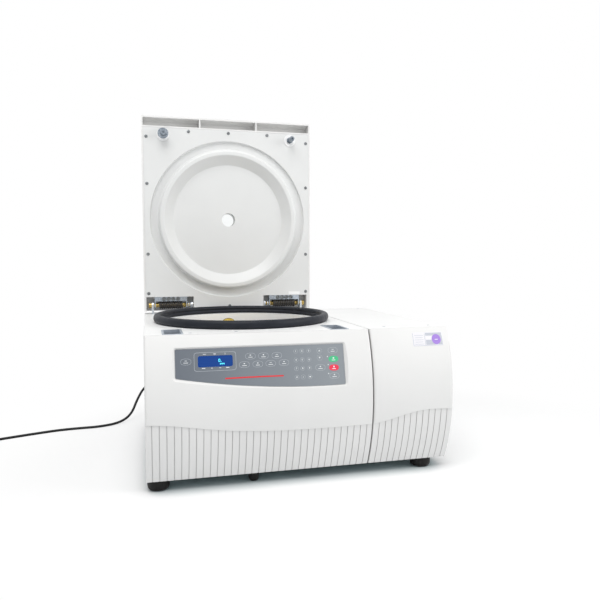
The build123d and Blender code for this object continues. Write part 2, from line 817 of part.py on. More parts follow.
def carrier():
    """A swing-out plate carrier: an open box with a thick slotted ear at each end."""
    outer_l = carrier_length / 2 + carrier_wall
    outer_w = carrier_width / 2 + carrier_wall
    floor_z = trunnion_height - carrier_depth
    rim = trunnion_height + carrier_rise
    tray = box((-outer_w, outer_w), (-outer_l, outer_l), (floor_z - carrier_wall, rim))
    tray = fillet(tray.edges().filter_by(Axis.Z), carrier_corner)
    tray -= box(
        (-carrier_width / 2, carrier_width / 2), (-carrier_length / 2, carrier_length / 2), (floor_z, 2 * rim)
    )
    slot = trunnion_stub_radius + running_clearance
    ear_low = trunnion_height - ear_depth
    for side in (1, -1):
        ends = sorted((side * carrier_length / 2, side * ear_outer))
        ear = box((-ear_half_width, ear_half_width), ends, (ear_low, rim))
        ear += rod((0, ends[0], rim), (0, 1, 0), ear_half_width, ear_thickness)
        tray += ear
        tray -= rod((0, ends[0], trunnion_height), (0, 1, 0), slot, ear_thickness)
        tray -= box((-slot, slot), ends, (ear_low, trunnion_height))
        window_x = (side * outer_w - 2 * carrier_wall, side * outer_w + 2 * carrier_wall)
        half = carrier_length / 2 - ear_depth
        tray -= box(window_x, (-half, half), (floor_z + window_sill, trunnion_height - window_sill))
    return Pos(trunnion_radius, 0, 0) * tray


# ---------------------------------------------------------------- lid
def lid_outline(wall=0.0):
    """Side view of the open lid, or of the room inside its walls, with the lip rounded off."""
    skin = skin_y - wall
    top = lid_high - wall
    low = lid_low + wall
    radius = lip_radius - wall
    turn = radius * (1 - math.sqrt(0.5))
    low_end = (skin, top - radius)
    high_end = (skin - radius, top)
    outline = Polyline(high_end, (plate_y, top), (plate_y, low), (skin, low), low_end)
    outline += ThreePointArc(low_end, (skin - turn, top - turn), high_end)
    return make_face(outline)


def pocket_limits(x, grow=0.0):
    """Limits across one hinge pocket."""
    return x - pocket_width / 2 - grow, x + pocket_width / 2 + grow


def make_shell():
    shell = across(lid_outline(), left_x, lid_width)
    rims = shell.faces().sort_by(Axis.Y)[-1].edges() + shell.edges().filter_by(GeomType.CIRCLE)
    shell = fillet(rims, lid_corner)
    shell -= box(seat_x, (plate_y - 1, plate_y + liner_thickness), (seat_low, plate_high))
    shell -= box(cavity_x, (plate_y, skin_y - lid_skin), cavity_z)
    channel = across(lid_outline(lid_wall), seat_x[0], seat_x[1] - seat_x[0])
    channel &= box(seat_x, (plate_y, plate_y + channel_depth), (channel_low, lid_high))
    for n in (1, 2):
        x = left_x + n * lid_width / 3
        channel -= box((x - channel_rib / 2, x + channel_rib / 2), (plate_y, skin_y), (channel_low, lid_high))
    shell -= channel
    for x, _ in hinge_sides:
        shell += box(pocket_limits(x, pocket_wall), (plate_y + liner_thickness, pocket_back + pocket_wall),
                     (lid_low + lid_corner, pocket_high + pocket_wall))
        shell -= box(pocket_limits(x), (plate_y - 1, pocket_back), (lid_low - 1, pocket_high))
    shell -= rod((lid_x, skin_y, dish_z), (0, -1, 0), port_radius, lid_skin)
    save("lid_shell", shell)


def make_liner():
    plate_x = (seat_x[0] + plate_gap, seat_x[1] - plate_gap)
    plate = box(plate_x, (plate_y, plate_y + liner_thickness), (seat_low + plate_gap, plate_high - plate_gap))
    plate -= rod((lid_x, plate_y - 1, dish_z), (0, 1, 0), seal_recess_radius, 2 * liner_thickness)
    dish = make_face(Polyline(
        (port_radius, dish_floor_depth), (dish_floor_radius, dish_floor_depth),
        (crest_inner, -crest_shoulder),
        (crest_inner + crest_round, -crest_height), (crest_outer - crest_round, -crest_height),
        (crest_outer, -crest_shoulder), (crest_outer, seal_recess_depth), (seal_recess_radius, seal_recess_depth),
        (seal_recess_radius, 0), (seal_recess_radius + dish_lap, 0), (seal_recess_radius + dish_lap, dish_back),
        (port_radius, dish_back), close=True))
    dish_plane = Plane((lid_x, plate_y, dish_z), x_dir=(1, 0, 0), z_dir=(0, 0, 1))
    plate += revolve(dish_plane * dish, lid_axis, 360)
    for x, _ in hinge_sides:
        plate -= box(pocket_limits(x), (plate_y - 1, pocket_back), (lid_low - 1, pocket_high))
    save("lid_liner", plate)


def make_lid():
    make_shell()
    make_liner()
    foam_y = (plate_y + dish_back + seat_gap, skin_y - lid_skin - seat_gap)
    foam_low = pocket_high + pocket_wall + seat_gap
    foam = box((cavity_x[0] + seat_gap, cavity_x[1] - seat_gap), foam_y, (foam_low, cavity_z[1] - seat_gap))
    foam -= rod((lid_x, foam_y[0], dish_z), (0, 1, 0), port_radius, lid_thickness)
    save("lid_insulation", foam)
    pane_y = plate_y + dish_back - port_window
    save("viewport_window", rod((lid_x, pane_y, dish_z), (0, 1, 0), port_radius, port_window))

    screws = []
    for x, z in screw_places():
        head = Plane((x, plate_y, z), z_dir=(0, -1, 0)) * RegularPolygon(screw_head, 8)
        screws.append(extrude(head, amount=screw_head_height))
    save("lid_screws", Compound(children=screws))


def screw_places():
    """Screws of the inner plate: two columns, a top row and one at the hinge edge."""
    reach = lid_width / 2 - screw_inset
    places = [(lid_x + side * reach, dish_z + rise) for rise in screw_rises for side in (-1, 1)]
    places += [(lid_x + n * screw_row_pitch, plate_high - screw_row_inset) for n in (-1, 0, 1)]
    places.append((lid_x, lid_low + screw_inset))
    return places


def make_strikers():
    """Striker bolts on the lid's free end; they dip into the deck's slots when the lid shuts."""
    cups = []
    posts = []
    disc_y = plate_y - striker_reach + striker_disc_thickness
    for x, _ in slot_places:
        spot = (x, plate_y, striker_z)
        cup = rod(spot, (0, -1, 0), cup_radius, cup_height)
        cup -= rod(spot, (0, -1, 0), striker_post, cup_height)
        cups.append(cup)
        posts.append(rod(spot, (0, -1, 0), striker_post, striker_reach))
    save("striker_cups", Compound(children=cups))

    (left_spot, right_spot) = [(x, disc_y, striker_z) for x, _ in slot_places]
    left = posts[0] + rod(left_spot, (0, -1, 0), striker_disc, striker_disc_thickness)
    left += rod(left_spot, (0, -1, 0), striker_head, striker_disc_thickness + striker_head_height)
    save("left_striker", left)
    right = posts[1] + rod(right_spot, (0, -1, 0), striker_head, striker_disc_thickness + bolt_head_height)
    collar = (right_spot[0], plate_y - cup_height, striker_z)
    right += rod(collar, (0, -1, 0), bolt_collar_radius, bolt_collar_height)
    save("right_striker", right)


# ---------------------------------------------------------------- hinges
def make_hinges():
    stands = []
    pins = []
    springs = []
    bushings = []
    brackets = []
    blocks = []
    for x, side in hinge_sides:
        wall = x - side * pocket_width / 2

        def span(start, length):
            """Limits along X, measured inwards from the pocket's outer wall."""
            ends = (wall + side * start, wall + side * (start + length))
            return min(ends), max(ends)

        stand = box(span(stand_outer, stand_span), (hinge_y - stand_reach, hinge_y + stand_reach),
                    (deck_height, deck_height + stand_base))
        for start in (stand_outer, stand_outer + stand_span - stand_thickness):
            limits = span(start, stand_thickness)
            ear = box(limits, (hinge_y - stand_radius, hinge_y + stand_radius), (deck_height, hinge_z))
            ear += rod((limits[0], hinge_y, hinge_z), (1, 0, 0), stand_radius, stand_thickness)
            ear -= rod((limits[0] - 1, hinge_y, hinge_z), (1, 0, 0), pin_radius, stand_thickness + 2)
            stand += ear
        stands.append(stand)

        shank = span(stand_outer - 1, stand_span + 2)
        pin = rod((shank[0], hinge_y, hinge_z), (1, 0, 0), pin_radius, shank[1] - shank[0])
        head = span(stand_outer - pin_head, pin_head)
        pin += rod((head[0], hinge_y, hinge_z), (1, 0, 0), pin_radius + pin_head_step, pin_head)
        pins.append(pin)

        bracket = box(span(bracket_outer, bracket_width), (web_y, web_y + bracket_sheet), (web_low, web_high))
        for start in (bracket_outer, bracket_outer + bracket_width - bracket_sheet):
            limits = span(start, bracket_sheet)
            ear = side_profile([
                (web_y, web_high), (web_y + ear_top, web_high), (hinge_y + bracket_radius, hinge_z),
                (hinge_y - bracket_radius, hinge_z), (web_y, web_low)], limits[0], bracket_sheet)
            ear += rod((limits[0], hinge_y, hinge_z), (1, 0, 0), bracket_radius, bracket_sheet)
            start = (limits[0] - 1, hinge_y, hinge_z)
            ear -= rod(start, (1, 0, 0), pin_radius + running_clearance, bracket_sheet + 2)
            bracket += ear
        web_middle = sum(span(bracket_outer, bracket_width)) / 2
        first_hole = web_middle - (web_hole_count - 1) / 2 * web_hole_pitch
        for n in range(web_hole_count):
            spot = (first_hole + n * web_hole_pitch, web_y - 1, (web_low + web_high) / 2)
            bracket -= rod(spot, (0, 1, 0), web_hole_radius, bracket_sheet + 2)
        brackets.append(bracket)
        inset = bracket_sheet + block_gap
        block_x = span(bracket_outer + inset, bracket_width - 2 * inset)
        blocks.append(box(block_x, (web_y + bracket_sheet, plate_y + pocket_depth), (web_low + 2, web_high)))

        gap = bracket_outer + bracket_sheet + bushing_gap
        room = bracket_width - 2 * (bracket_sheet + bushing_gap)
        for start in (gap, gap + room - bushing_length):
            limits = span(start, bushing_length)
            bushing = rod((limits[0], hinge_y, hinge_z), (1, 0, 0), bushing_radius, bushing_length)
            bore = pin_radius + running_clearance
            bushing -= rod((limits[0] - 1, hinge_y, hinge_z), (1, 0, 0), bore, bushing_length + 2)
            bushings.append(bushing)
        limits = span(gap + bushing_length, room - 2 * bushing_length)
        coil = rod((limits[0], hinge_y, hinge_z), (1, 0, 0), spring_radius, limits[1] - limits[0])
        coil -= rod((limits[0] - 1, hinge_y, hinge_z), (1, 0, 0), spring_bore, limits[1] - limits[0] + 2)
        springs.append(coil)
    save("hinge_stands", Compound(children=stands))
    save("hinge_pins", Compound(children=pins))
    save("hinge_springs", Compound(children=springs))
    save("spring_bushings", Compound(children=bushings))
    save("lid_hinge_brackets", Compound(children=brackets))
    save("lid_hinge_blocks", Compound(children=blocks))


# ---------------------------------------------------------------- latches
def make_latches():
    """Slot bezels in the deck, and the fork bar that slides under the strikers' heads."""
    rim_w = latch_slot_width / 2 + bezel_rim - joint_gap / 2
    rim_l = latch_slot_length / 2 + bezel_rim - joint_gap / 2
    fork_half = fork_width / 2
    bezels = []
    forks = []
    stems = []
    for x, y in slot_places:
        bezel_low = deck_underside - bezel_depth
        bezel = box((x - rim_w, x + rim_w), (y - rim_l, y + rim_l), (bezel_low, deck_height))
        lip = RectangleRounded(2 * (rim_w + bezel_lip), 2 * (rim_l + bezel_lip), 2 * bezel_rim)
        bezel += extrude(Plane((x, y, deck_height)) * lip, amount=bezel_proud)
        bezel -= Pos(x, y, deck_height) * Box(latch_slot_width, latch_slot_length, 4 * bezel_depth)
        bezel -= box((x, x + 2 * rim_w), (striker_y - fork_half - fork_play, striker_y + fork_half + fork_play),
                     (fork_low - fork_play, fork_high + fork_play))
        bezels.append(bezel)

        tip = x + striker_disc + fork_stand_off
        stem = x + rim_w + fork_play + latch_travel
        fork_y = (striker_y - fork_half, striker_y + fork_half)
        fork = box((tip, stem + latch_sheet), fork_y, (fork_low, fork_high))
        fork -= box((x, x + latch_travel + fork_slot), (striker_y - fork_slot, striker_y + fork_slot),
                    (fork_low - 1, fork_high + 1))
        forks.append(fork)
        stems.append((stem, stem + latch_sheet))
    save("latch_bezels", Compound(children=bezels))

    bar_y = (striker_y - latch_bar_width / 2, striker_y + latch_bar_width / 2)
    bar = box((stems[0][0], stems[1][1]), bar_y, (tie_low, tie_high)) + forks
    for stem in stems:
        bar += box(stem, bar_y, (tie_low, fork_high))
    save("latch_bar", bar)

    middle = (slot_places[0][0] + slot_places[1][0]) / 2
    body_x = (middle - actuator_length / 2, middle + actuator_length / 2)
    hanger_y = bar_y[0] - joint_gap - actuator_bracket
    body_z = (tie_low - seat_gap - actuator_height, tie_low - seat_gap)
    actuator = box(body_x, (hanger_y, hanger_y + actuator_width), body_z)
    actuator += box(body_x, (hanger_y, hanger_y + actuator_bracket), (body_z[0], deck_underside))
    save("latch_actuator", actuator)


# ---------------------------------------------------------------- cooling and power
def make_condenser():
    """Condenser core on the right, its fan in a shroud with a motor spider, blowing outwards."""
    span_y = (condenser_y - condenser_size[1] / 2, condenser_y + condenser_size[1] / 2)
    save("condenser", box((condenser_inner, condenser_outer), span_y, (pan_top, pan_top + condenser_size[2])))

    half = fan_radius + shroud_margin
    span_y = (condenser_y - half, condenser_y + half)
    span_z = (fan_z - half, fan_z + half)
    frame = box((shroud_low, condenser_inner), span_y, span_z)
    frame -= rod((shroud_low, condenser_y, fan_z), (1, 0, 0), fan_radius + spider_bar / 4, shroud_depth)
    bar_x = (shroud_low - spider_bar, shroud_low)
    frame += box(bar_x, span_y, (fan_z - spider_bar / 2, fan_z + spider_bar / 2))
    frame += box(bar_x, (condenser_y - spider_bar / 2, condenser_y + spider_bar / 2), span_z)
    frame += rod((shroud_low - 2 * spider_bar, condenser_y, fan_z), (1, 0, 0), fan_hub_radius, 2 * spider_bar)
    bore = fan_shaft + running_clearance
    frame -= rod((shroud_low - spider_bar, condenser_y, fan_z), (1, 0, 0), bore, shroud_depth)
    save("fan_shroud", frame)

    middle_x = (shroud_low + condenser_inner) / 2
    fan = rod((middle_x - fan_depth / 2, condenser_y, fan_z), (1, 0, 0), fan_hub_radius, fan_depth)
    fan += rod((shroud_low - spider_bar + seat_gap, condenser_y, fan_z), (1, 0, 0), fan_shaft, shroud_depth)
    blade_span = fan_radius - fan_hub_radius
    blade = Rot(0, 0, blade_pitch) * Box(2, blade_width, blade_span)
    blade = Pos(0, 0, fan_hub_radius + blade_span / 2 - 1) * blade
    for n in range(blade_count):
        fan += Pos(middle_x, condenser_y, fan_z) * Rot(360 * n / blade_count, 0, 0) * blade
    save("condenser_fan", fan)


def make_compressor():
    low = pan_top + compressor_feet
    top = low + compressor_height
    points = [
        (0, low), (compressor_radius, low), (compressor_radius, top - compressor_dome),
        (dome_flat * compressor_radius, top), (0, top),
    ]
    pump = spun(points, Plane((compressor_x, compressor_y, 0)))
    foot_x = compressor_foot_x * compressor_radius
    foot_y = compressor_foot_y * compressor_radius
    for x in (-foot_x, foot_x):
        for y in (-foot_y, foot_y):
            spot = (compressor_x + x, compressor_y + y, pan_top)
            pump += rod(spot, (0, 0, 1), compressor_foot_radius, compressor_feet + 1)
    save("compressor", pump)


def make_electrics():
    """Transformer and drive power module on the pan, near the front."""
    core_x = (service_x + transformer_inset, right_x - transformer_margin)
    core_y = (edge_y + electrics_from_front, edge_y + electrics_from_front + transformer_depth)
    transformer = box(core_x, core_y, (pan_top, pan_top + transformer_height))
    bulge = transformer_winding
    transformer += box((core_x[0] + bulge, core_x[1] - bulge), (core_y[0] - bulge, core_y[1] + bulge),
                       (pan_top + bulge, pan_top + transformer_height - bulge))
    save("transformer", transformer)

    board_x = (left_x + module_inset, left_x + module_inset + module_size[0])
    board_y = (core_y[0], core_y[0] + module_size[1])
    power = box(board_x, board_y, (pan_top, pan_top + module_base))
    pitch = (module_size[0] - fin_sheet) / (fin_count - 1)
    for n in range(fin_count):
        fin = board_x[0] + n * pitch
        power += box((fin, fin + fin_sheet), board_y, (pan_top, pan_top + module_size[2]))
    save("drive_power_module", power)


# ---------------------------------------------------------------- mains switch
def switch_opening(margin=0.0):
    """Opening for the mains switch in the right side panel."""
    size = (2 * switch_depth, switch_width - margin, switch_height - margin)
    return Pos(right_x, switch_y, switch_z) * Box(*size)


def make_switch():
    housing = switch_opening(joint_gap)
    housing &= box((right_x - switch_depth, right_x), (switch_y - switch_width, switch_y + switch_width),
                   (switch_z - switch_height, switch_z + switch_height))
    half_y = switch_width / 2 - switch_wall
    half_z = switch_height / 2 - switch_wall
    housing -= box((right_x - switch_depth + switch_wall, right_x + 1), (switch_y - half_y, switch_y + half_y),
                   (switch_z - half_z, switch_z + half_z))
    pivot = (right_x - rocker_inset, switch_y, switch_z)
    stub = half_y + switch_wall / 2
    housing -= rod((pivot[0], switch_y - stub - rocker_play, switch_z), (0, 1, 0),
                   rocker_stub + running_clearance, 2 * (stub + rocker_play))
    save("switch_housing", housing)

    reach = half_z - rocker_shy
    side = half_y - rocker_play
    face = make_face(Polyline((rocker_face, -reach), (rocker_face - 1.6, 0), (rocker_face, reach),
                              (-rocker_back, 0.6 * reach), (-rocker_back, -0.6 * reach), close=True))
    rocker = extrude(Plane((0, -side, 0), x_dir=(1, 0, 0), z_dir=(0, -1, 0)) * face, amount=-2 * side)
    rocker += rod((0, -stub, 0), (0, 1, 0), rocker_stub, 2 * stub)
    save("power_rocker", Pos(*pivot) * Rot(0, rocker_tilt, 0) * rocker)


# ---------------------------------------------------------------- mains lead
def cord_route():
    """Points of the free lead, from the strain relief's tip to the coil."""
    return [(cord_x + x, relief_tip + y, z) for x, y, z in lead_steps]


def make_cord():
    exit_place = (cord_x, rear_y, cord_exit_height)
    inside = (cord_x, rear_y - 2 * panel_sheet, cord_exit_height)
    relief = rod(inside, (0, 1, 0), relief_radius - relief_step, 2 * panel_sheet)
    relief += rod(exit_place, (0, 1, 0), relief_radius + relief_step, relief_flange)
    cone = [
        (0, 0), (relief_radius, 0), (relief_radius, relief_flange),
        (cord_diameter / 2 + relief_step / 2, relief_length), (0, relief_length),
    ]
    save("strain_relief", relief + spun(cone, Plane(exit_place, x_dir=(1, 0, 0), z_dir=(0, 1, 0))))

    points = [Vector(*point) for point in cord_route()]
    radii = []
    for before, here, after in zip(points, points[1:], points[2:]):
        run_in = here - before
        run_out = after - here
        turn = run_in.get_angle(run_out)
        radii.append(bend_share * min(run_in.length, run_out.length) / math.tan(math.radians(turn / 2)))
    print("lead bend radii:", [round(radius) for radius in radii])
    path = FilletPolyline(*points, radius=radii)
    start = Plane(origin=path @ 0, z_dir=path % 0)
    tube = sweep(start * Circle(cord_diameter / 2), path=path)
    straight = math.pi * (cord_diameter / 2) ** 2 * path.length
    print("lead length", round(path.length), "volume ratio", round(tube.volume / straight, 4))
    save("mains_lead", tube)


def make_coil():
    """The rest of the lead: one closed coil, a short tail and the plug."""
    inner = coil_turn_radius - cord_diameter
    outer = coil_turn_radius + cord_diameter
    coil = extrude(Plane((coil_x, coil_y, 0)) * (Circle(outer) - Circle(inner)), amount=coil_height)
    tail_x = coil_x - outer + cord_diameter / 2
    tail_end = coil_y - outer - tail_length
    tail = (tail_x, coil_y, plug_height)
    coil += rod(tail, (0, -1, 0), cord_diameter / 2, coil_y - tail_end)
    save("lead_coil", coil)

    plug_plane = Plane((tail_x, tail_end, plug_height), x_dir=(1, 0, 0), z_dir=(0, -1, 0))
    body = extrude(plug_plane * Circle(plug_neck_radius), amount=plug_length)
    shoulder = plug_plane.offset(plug_neck) * RectangleRounded(plug_width, plug_thickness, plug_neck_radius)
    body += extrude(shoulder, amount=plug_length - plug_neck)
    face_plane = plug_plane.offset(plug_length)
    for x in (-blade_offset, blade_offset):
        blade = Pos(x, -blade_drop) * Rectangle(blade_sheet, blade_height)
        body += extrude(face_plane * blade, amount=blade_length)
    pin = Pos(0, earth_rise) * Circle(earth_radius)
    body += extrude(face_plane * pin, amount=blade_length + 2)
    save("mains_plug", body)


if __name__ == "__main__":
    make_front()
    make_covers()
    make_feet()
    make_chamber()
    make_drive()
    make_rotor()
    make_lid()
    make_strikers()
    make_hinges()
    make_latches()
    make_condenser()
    make_compressor()
    make_electrics()
    make_switch()
    make_cord()
    make_coil()
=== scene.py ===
import json
import math

import bmesh
import bpy
import numpy as np
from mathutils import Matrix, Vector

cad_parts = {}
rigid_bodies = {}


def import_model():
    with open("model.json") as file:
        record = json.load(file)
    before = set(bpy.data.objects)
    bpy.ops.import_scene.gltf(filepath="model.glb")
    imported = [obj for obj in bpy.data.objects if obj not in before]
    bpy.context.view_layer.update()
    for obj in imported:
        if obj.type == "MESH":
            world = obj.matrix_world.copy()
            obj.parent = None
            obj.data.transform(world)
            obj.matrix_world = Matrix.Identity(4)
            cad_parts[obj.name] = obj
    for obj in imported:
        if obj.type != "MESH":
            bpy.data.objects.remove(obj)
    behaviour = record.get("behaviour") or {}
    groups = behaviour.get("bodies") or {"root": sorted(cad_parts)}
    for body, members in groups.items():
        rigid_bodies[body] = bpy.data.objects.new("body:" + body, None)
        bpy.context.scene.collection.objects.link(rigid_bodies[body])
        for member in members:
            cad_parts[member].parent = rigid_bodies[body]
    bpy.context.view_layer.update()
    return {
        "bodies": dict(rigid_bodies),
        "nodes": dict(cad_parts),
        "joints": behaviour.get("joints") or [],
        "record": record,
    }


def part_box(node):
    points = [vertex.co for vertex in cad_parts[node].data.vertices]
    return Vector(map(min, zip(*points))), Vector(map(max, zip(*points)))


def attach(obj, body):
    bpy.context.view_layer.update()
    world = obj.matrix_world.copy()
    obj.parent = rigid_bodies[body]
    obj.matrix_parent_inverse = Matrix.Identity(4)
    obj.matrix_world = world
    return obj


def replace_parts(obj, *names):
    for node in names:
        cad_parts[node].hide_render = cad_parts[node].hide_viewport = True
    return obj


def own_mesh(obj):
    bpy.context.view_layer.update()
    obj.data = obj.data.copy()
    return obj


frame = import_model()
nodes = frame["nodes"]
mm = 0.001

# ---------------------------------------------------------------- places on the machine, in millimetres
chamber_x, chamber_y = -106.65, 8.0   # axis of the bowl and the rotor
hinge_y, hinge_z = 279.6, 392.0       # axis of the lid's pins
deck_z = 365.0
seal_z = 366.3               # foot of the seal
first_arm, arm_reach = 96.8, 153   # angle of the rotor's first arm in degrees, radius of its boss
plate_y = 265.6              # face of the lid's inner plate
dish_z = 663.6               # middle of the lid's dish
front_arch = 385.7           # radius of the arched front
arch_centre = (60.7, 196.0)  # its centre as (y, z)
panel_spot = np.array((-375.0, -310.93, 286.75))   # left end of the body, on the panel's mid line
panel_up = np.array((0.0, 0.23724, 0.97145))
panel_out = np.array((0.0, -0.97145, 0.23724))
ink_low, ink_high = -2.5, -2.3   # printed ink, from the panel's outer face


# ---------------------------------------------------------------- camera
def set_camera():
    """The camera stands in front and to the left of the machine, a little above its deck."""
    dip, roll, turn = 0.068, 0.001, -0.249
    lens = bpy.data.cameras.new("bench_camera")
    lens.lens = 36
    lens.sensor_width = 36
    lens.clip_end = 50
    camera = bpy.data.objects.new("bench_camera", lens)
    camera.location = (-0.36395, -1.6698, 0.5373)
    camera.rotation_euler = (math.pi / 2 - dip, roll, turn)
    bpy.context.scene.collection.objects.link(camera)
    bpy.context.scene.camera = camera


set_camera()


# ---------------------------------------------------------------- surfaces
def woven(grid, round_rows=False, round_columns=False):
    """A grid of points (rows, columns, xyz) joined into quads. It closes on itself across
    rows or columns where asked, and a row whose points coincide becomes a pole."""
    rows, columns = grid.shape[:2]
    index = np.arange(rows * columns).reshape(rows, columns)
    if round_rows:
        index = np.vstack((index, index[:1]))
    if round_columns:
        index = np.hstack((index, index[:, :1]))
    quads = np.stack((index[:-1, :-1], index[:-1, 1:], index[1:, 1:], index[1:, :-1]), axis=-1)
    return grid.reshape(-1, 3), quads.reshape(-1, 4)


def piece(name, shapes, body, finish, smooth=True):
    """One object from several woven surfaces: points that coincide are merged, faces turned outwards."""
    same_spot = 2e-6
    points, faces, start = [], [], 0
    for spots, quads in shapes:
        points.append(spots)
        faces.append(quads + start)
        start += len(spots)
    points = np.round(np.vstack(points) * mm, 8)
    faces = np.vstack(faces)
    mesh = bpy.data.meshes.new(name)
    mesh.from_pydata(points.tolist(), [], faces.tolist())
    form = bmesh.new()
    form.from_mesh(mesh)
    bmesh.ops.remove_doubles(form, verts=form.verts, dist=same_spot)
    bmesh.ops.recalc_face_normals(form, faces=form.faces)
    form.to_mesh(mesh)
    form.free()
    mesh.polygons.foreach_set("use_smooth", np.full(len(mesh.polygons), smooth))
    mesh.materials.append(finish)
    thing = bpy.data.objects.new(name, mesh)
    bpy.context.scene.collection.objects.link(thing)
    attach(thing, body)
    return thing


def turned(profile, centre, sides=32, along="z", facets=None):
    """A profile of (radius, height) rows carried round an axis through the centre. Where facets is
    given for a row, its radius runs round a regular polygon: across / cos(angle from a flat's middle)."""
    profile = np.array(profile, float)
    angle = np.linspace(0, 2 * np.pi, sides, endpoint=False)
    reach = np.repeat(profile[:, :1], sides, axis=1)
    if facets:
        count, which = facets
        flat = 2 * np.pi / count
        reach[which] = reach[which] / np.cos((angle + flat / 2) % flat - flat / 2)
    height = np.repeat(profile[:, 1:2], sides, axis=1)
    across, up = reach * np.cos(angle), reach * np.sin(angle)
    order = {"z": (across, up, height), "y": (across, -height, up), "x": (height, across, up)}[along]
    return woven(np.stack(order, axis=-1) + np.array(centre), round_columns=True)


def oval(across, high, power=2.5, count=40):
    """Outline of a key: a superellipse |x/a|^p + |y/b|^p = 1."""
    angle = np.linspace(0, 2 * np.pi, count, endpoint=False)
    cosine, sine = np.cos(angle), np.sin(angle)
    x = across / 2 * np.sign(cosine) * np.abs(cosine) ** (2 / power)
    y = high / 2 * np.sign(sine) * np.abs(sine) ** (2 / power)
    return np.stack((x, y), axis=-1)


def on_panel(flat, lift):
    """Points (u, v) of the control panel's plane, raised along its outward direction."""
    return panel_spot + flat[..., :1] * np.array((1.0, 0, 0)) + flat[..., 1:2] * panel_up + lift * panel_out


def on_arch(flat, lift):
    """Points (x, z) carried onto the arched front: y = centre - sqrt(radius^2 - (z - middle)^2)."""
    radius = front_arch + lift
    y = arch_centre[0] - np.sqrt(radius ** 2 - (flat[..., 1] - arch_centre[1]) ** 2)
    return np.stack((flat[..., 0], y, flat[..., 1]), axis=-1)


def on_lid(flat, lift):
    """Points (x, z) of the lid's inner plate, raised towards the front."""
    return np.stack((flat[..., 0], np.full(flat.shape[:-1], plate_y - lift), flat[..., 1]), axis=-1)


def patch(outline, spot, carry, low=ink_low, high=ink_high):
    """A thin printed patch: the outline shrunk to its middle, above and below, and its rim."""
    spot = np.array(spot, float)
    edge = outline + spot
    middle = np.broadcast_to(edge.mean(axis=0), edge.shape)
    half = (edge + middle) / 2
    rows = [carry(line, low) for line in (middle, half, edge)]
    rows += [carry(line, high) for line in (edge, half, middle)]
    return woven(np.stack(rows), round_columns=True)


def outline_ring(outline, spot, width, carry, low=ink_low, high=ink_high):
    """A printed line of constant width that follows an outline, as a closed band."""
    spot = np.array(spot, float)
    size = np.abs(outline).max(axis=0)
    inner = outline * (1 - width / size)
    rows = (carry(outline + spot, low), carry(outline + spot, high), carry(inner + spot, high),
            carry(inner + spot, low))
    return woven(np.stack(rows), round_rows=True, round_columns=True)


def bar(width, height):
    """Outline of a small bar with square ends, in eight points."""
    x, y = width / 2, height / 2
    return np.array(((x, 0), (x, y), (0, y), (-x, y), (-x, 0), (-x, -y), (0, -y), (x, -y)))


def digit(text, spot, high, carry):
    """One numeral of the number pad: a thin solid laid on the panel."""
    letter = bpy.data.curves.new("numeral", "FONT")
    letter.body = text
    letter.size = high
    letter.offset = 0.12
    letter.extrude = (ink_high - ink_low) / 2
    letter.align_x, letter.align_y = "CENTER", "CENTER"
    letter.resolution_u = 3
    holder = bpy.data.objects.new("numeral", letter)
    mesh = bpy.data.meshes.new_from_object(holder)
    flat = np.empty(len(mesh.vertices) * 3)
    mesh.vertices.foreach_get("co", flat)
    flat = flat.reshape(-1, 3) + np.array((*spot, (ink_low + ink_high) / 2))
    mesh.calc_loop_triangles()
    triangles = np.empty(len(mesh.loop_triangles) * 3, int)
    mesh.loop_triangles.foreach_get("vertices", triangles)
    triangles = triangles.reshape(-1, 3)
    bpy.data.objects.remove(holder)
    bpy.data.curves.remove(letter)
    bpy.data.meshes.remove(mesh)
    return carry(flat[:, :2], flat[:, 2:]), triangles


# ---------------------------------------------------------------- finishes
def effect(name, inputs, output, build):
    """A shader node group with named sockets, built once and placed in every material that uses it."""
    tree = bpy.data.node_groups.new(name, "ShaderNodeTree")
    for socket, kind in inputs.items():
        tree.interface.new_socket(name=socket, in_out="INPUT", socket_type="NodeSocket" + kind)
    tree.interface.new_socket(name=output[0], in_out="OUTPUT", socket_type="NodeSocket" + output[1])
    leaving = tree.nodes.new("NodeGroupOutput")
    tree.links.new(build(tree, tree.nodes.new("NodeGroupInput").outputs), leaving.inputs[0])
    return tree


def grain_nodes(tree, given):
    """Fractal noise: its scale is per metre."""
    noise = tree.nodes.new("ShaderNodeTexNoise")
    for socket in ("Vector", "Scale", "Detail", "Roughness"):
        tree.links.new(given[socket], noise.inputs[socket])
    return noise.outputs["Fac"]


def mottle_nodes(tree, given):
    """Two colours blended as a value goes from start to stop."""
    span = tree.nodes.new("ShaderNodeMapRange")
    blend = tree.nodes.new("ShaderNodeMix")
    blend.data_type = "RGBA"
    for source, target in (("Value", "Value"), ("Start", "From Min"), ("Stop", "From Max")):
        tree.links.new(given[source], span.inputs[target])
    tree.links.new(span.outputs["Result"], blend.inputs["Factor"])
    tree.links.new(given["Low"], blend.inputs["A"])
    tree.links.new(given["High"], blend.inputs["B"])
    return blend.outputs["Result"]


def wear_nodes(tree, given):
    """Roughness between two values, as a value goes from 0.3 to 0.7."""
    span = tree.nodes.new("ShaderNodeMapRange")
    span.inputs["From Min"].default_value = 0.3
    span.inputs["From Max"].default_value = 0.7
    for source, target in (("Value", "Value"), ("Low", "To Min"), ("High", "To Max")):
        tree.links.new(given[source], span.inputs[target])
    return span.outputs["Result"]


grain = effect("grain", {"Vector": "Vector", "Scale": "Float", "Detail": "Float", "Roughness": "Float"},
               ("Height", "Float"), grain_nodes)
mottle = effect("mottle", {"Value": "Float", "Low": "Color", "High": "Color", "Start": "Float",
                           "Stop": "Float"}, ("Color", "Color"), mottle_nodes)
wear = effect("wear", {"Value": "Float", "Low": "Float", "High": "Float"}, ("Roughness", "Float"), wear_nodes)


